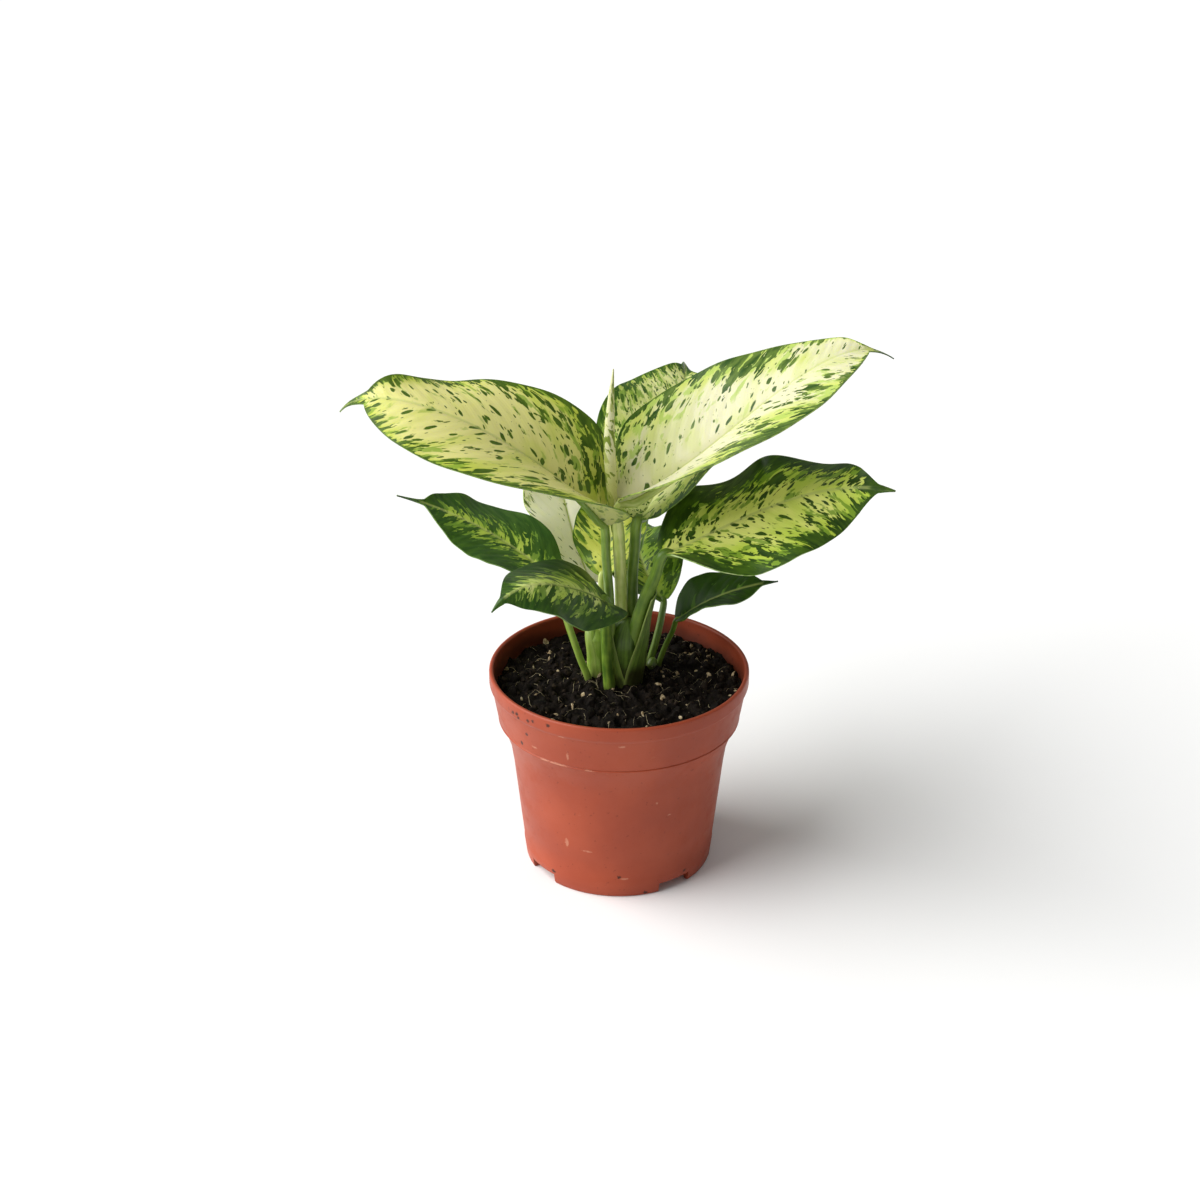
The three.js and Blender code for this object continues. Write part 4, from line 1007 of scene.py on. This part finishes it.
soil = {
    "level": 88.5, "edgeDrop": 1.2, "mound": 3, "moundFall": 1.6, "lump": 0.55,
    "waves": [(0.21, 0.26, 0.9, 0.5), (0.21, -0.26, 1.7, 0.5), (0.47, -0.39, 2.1, 0.6),
              (0.83, 0.71, 1.57, 0.4)],
    "rings": 150, "segments": 420, "floor": 5.9,
    "clods": 2.3, "clodSize": 8, "crumble": 1.0, "crumbleSize": 2.6, "specular": 0.12,
    "crumbs": 700, "crumbSize": (0.5, 2.2), "lumps": 150, "lumpSize": (1.8, 4.6),
    "bits": 130, "bitSize": (0.5, 1.9),
    "fibres": 150, "fibreLength": (3, 10), "fibreRadius": 0.1, "seed": 41,
}


# Height of the soil before its clods and crumbs.
def soilLevel(x, y):
    radius = np.hypot(x, y) / pot["lipRadius"]
    lumps = sum(share * np.sin(alongX * x + alongY * y + start) for alongX, alongY, start, share in soil["waves"])
    mound = soil["mound"] * np.maximum(1 - soil["moundFall"] * radius, 0)
    return soil["level"] + mound - soil["edgeDrop"] * radius ** 2 + soil["lump"] * lumps


def soilRelief(x, y):
    clod = 1 - 2 * abs(noise.noise(Vector((x, y, 3.0)) / soil["clodSize"]))
    cell = noise.voronoi(Vector((x, y, 8.0)) / (soil["clodSize"] * 0.6))[0][0]
    crumble = noise.fractal(Vector((x, y, 1.0)) / soil["crumbleSize"], 0.8, 2.2, 3)
    return soil["clods"] * (clod - 0.6) + 1.6 * (0.45 - cell) + soil["crumble"] * crumble


def soilTop(x, y):
    return float(soilLevel(x, y)) + soilRelief(x, y)


def addSoil():
    edge = potInnerRadius(soil["level"]) + 0.3
    topShare, wallShare = 0.86, 0.94

    def place(s, t):
        angle = 2 * np.pi * t
        radius = np.where(s < topShare, edge * s / topShare, edge)
        fall = np.clip((s - topShare) / (wallShare - topShare), 0, 1)
        x, y = radius * np.cos(angle), radius * np.sin(angle)
        top = soilLevel(x, y) + np.array([soilRelief(a, b) for a, b in zip(x, y)])
        z = top + (soil["floor"] - top) * fall
        radius = np.minimum(radius, potInnerRadius(z) + np.where(fall > 0, -0.3, 0.3))
        radius = np.where(s > wallShare, radius * (1 - s) / (1 - wallShare), radius)
        return np.column_stack([radius * np.cos(angle), radius * np.sin(angle), z])

    bed, _ = bentSheet("soil_bed", soil["rings"], soil["segments"], place)
    closeUp(bed)
    selectOnly(bed)
    bpy.ops.object.shade_smooth()
    bed.data.materials.append(soilMaterial("peat", "1a1209", "070504"))
    finishPiece(bed, ["soil"])


def soilMaterial(name, light, dark, roughness=0.9):
    material, tree, surface = newMaterial(name, roughness)
    place = objectCoordinates(tree)
    grains = grain(tree, place, 3.0, detail=6, roughness=0.75, scale=0.7)
    colour = mixColour(tree, step(tree, grains, 0.35, 0.7), paint(dark), paint(light))
    tree.links.new(colour, surface.inputs["Base Color"])
    tree.links.new(step(tree, grains, 0.3, 0.7, 0.95, roughness - 0.2), surface.inputs["Roughness"])
    surface.inputs["Specular IOR Level"].default_value = soil["specular"]
    addBump(tree, surface, grain(tree, place, 5.0, detail=6, roughness=0.75, scale=1.1), 0.5)
    return material


# Stones of one template, scattered over the soil and joined into one piece.
def scatter(name, count, sizes, squash, sink, material, seed, inner=4.0):
    draw = random.Random(seed)
    templates = []
    for i in range(4):
        bpy.ops.object.select_all(action="DESELECT")
        bpy.ops.mesh.primitive_ico_sphere_add(subdivisions=2, radius=1)
        template = bpy.context.object
        for vertex in template.data.vertices:
            shift = noise.noise_vector(vertex.co * 1.1 + Vector((seed + 9 * i, 0, 0)))
            vertex.co = vertex.co + shift * 0.45
        templates.append(template)
    copies = []
    wall = potInnerRadius(soil["level"]) - 0.3
    for i in range(count):
        angle = 2 * math.pi * draw.random()
        radius = inner + (wall - inner) * math.sqrt(draw.random())
        size = sizes[0] + (sizes[1] - sizes[0]) * draw.random() ** 2
        radius = min(radius, wall - 1.6 * size)
        x, y = radius * math.cos(angle), radius * math.sin(angle)
        stone = templates[i % 4].copy()
        stone.data = stone.data.copy()
        stone.location = Vector((x, y, soilTop(x, y) - sink * size)) * millimetre
        stone.rotation_euler = [draw.uniform(0, 6.3) for _ in range(3)]
        stone.scale = [size * millimetre * f for f in (1, squash[0], squash[1])]
        bpy.context.scene.collection.objects.link(stone)
        copies.append(stone)
    for template in templates:
        bpy.data.objects.remove(template)
    bpy.ops.object.select_all(action="DESELECT")
    for stone in copies:
        stone.select_set(True)
    bpy.context.view_layer.objects.active = copies[0]
    bpy.ops.object.join()
    bpy.ops.object.transform_apply(location=True, rotation=True, scale=True)
    heap = bpy.context.object
    heap.name = name
    heap.data.materials.append(material)
    bpy.ops.object.shade_smooth_by_angle(angle=math.radians(45))
    return finishPiece(heap)


def addFibres():
    draw = random.Random(soil["seed"] + 2)
    data = bpy.data.curves.new("soil_fibres", "CURVE")
    data.dimensions = "3D"
    data.bevel_depth = soil["fibreRadius"] * millimetre
    data.bevel_resolution = 0
    data.use_fill_caps = True
    edge = potInnerRadius(soil["level"]) - 1.5
    for _ in range(soil["fibres"]):
        spline = data.splines.new("POLY")
        count = 7
        spline.points.add(count - 1)
        angle = 2 * math.pi * draw.random()
        radius = edge * math.sqrt(draw.random())
        x, y = radius * math.cos(angle), radius * math.sin(angle)
        heading = draw.uniform(0, 2 * math.pi)
        curl = draw.uniform(-0.22, 0.22)
        stride = draw.uniform(*soil["fibreLength"]) / (count - 1)
        arch = draw.uniform(0.2, 1.6)
        for k in range(count):
            reach = math.hypot(x, y)
            if reach > edge:
                x, y = x * edge / reach, y * edge / reach
            z = soilTop(x, y) + arch * math.sin(math.pi * k / (count - 1)) + 0.05
            spline.points[k].co = (x * millimetre, y * millimetre, z * millimetre, 1)
            spline.points[k].radius = 1.2 - 0.9 * k / (count - 1)
            heading += curl + draw.uniform(-0.3, 0.3)
            x += stride * math.cos(heading)
            y += stride * math.sin(heading)
    fibres = bpy.data.objects.new("soil_fibres", data)
    bpy.context.scene.collection.objects.link(fibres)
    selectOnly(fibres)
    bpy.ops.object.convert(target="MESH")
    fibres = bpy.context.object
    closeUp(fibres)
    fibres.data.materials.clear()
    fibres.data.materials.append(soilMaterial("root_fibre", "c4b896", "84765a", 0.8))
    return finishPiece(fibres)


# ---- assembly ----

addCamera()
addLight()
addFloor()
print("camera, light and floor are set")

addPot()
print("pot shell is finished")

addSoil()
# the crumbs' lighter grains are partly their own colour and partly a painted glint
scatter("soil_crumbs", soil["crumbs"], soil["crumbSize"], (0.8, 0.7), 0.2,
        soilMaterial("peat_crumb_and_painted_glint", "33281d", "070504"), 5)
scatter("soil_lumps", soil["lumps"], soil["lumpSize"], (0.85, 0.7), 0.35,
        soilMaterial("peat_lump", "1c140c", "060504"), 7, 12)
scatter("soil_bits", soil["bits"], soil["bitSize"], (0.7, 0.4), -0.2,
        soilMaterial("bark_bit", "d2c3a0", "7d6444", 0.8), 6)
addFibres()
print("soil is finished")

variegation = variegationGroup()
streaks = streakGroup()
stalkMaterials = {tone: stalkMaterial(tone, tone, streaks) for tone in stalkTones}
for leafName, leafShape in leaves.items():
    addBlade(leafName, leafShape, variegation)
    addStalk(leafName, leafShape, stalkMaterials)
    print("leaf", leafName, "is finished")
for stemName, stemShape in stems.items():
    addStem(stemName, stemShape, stalkMaterials)
for sheathName, sheathShape in sheaths.items():
    addSheath(sheathName, sheathShape, stalkMaterials)
addRolledLeaf(variegation)
print("stems and rolled leaf are finished")
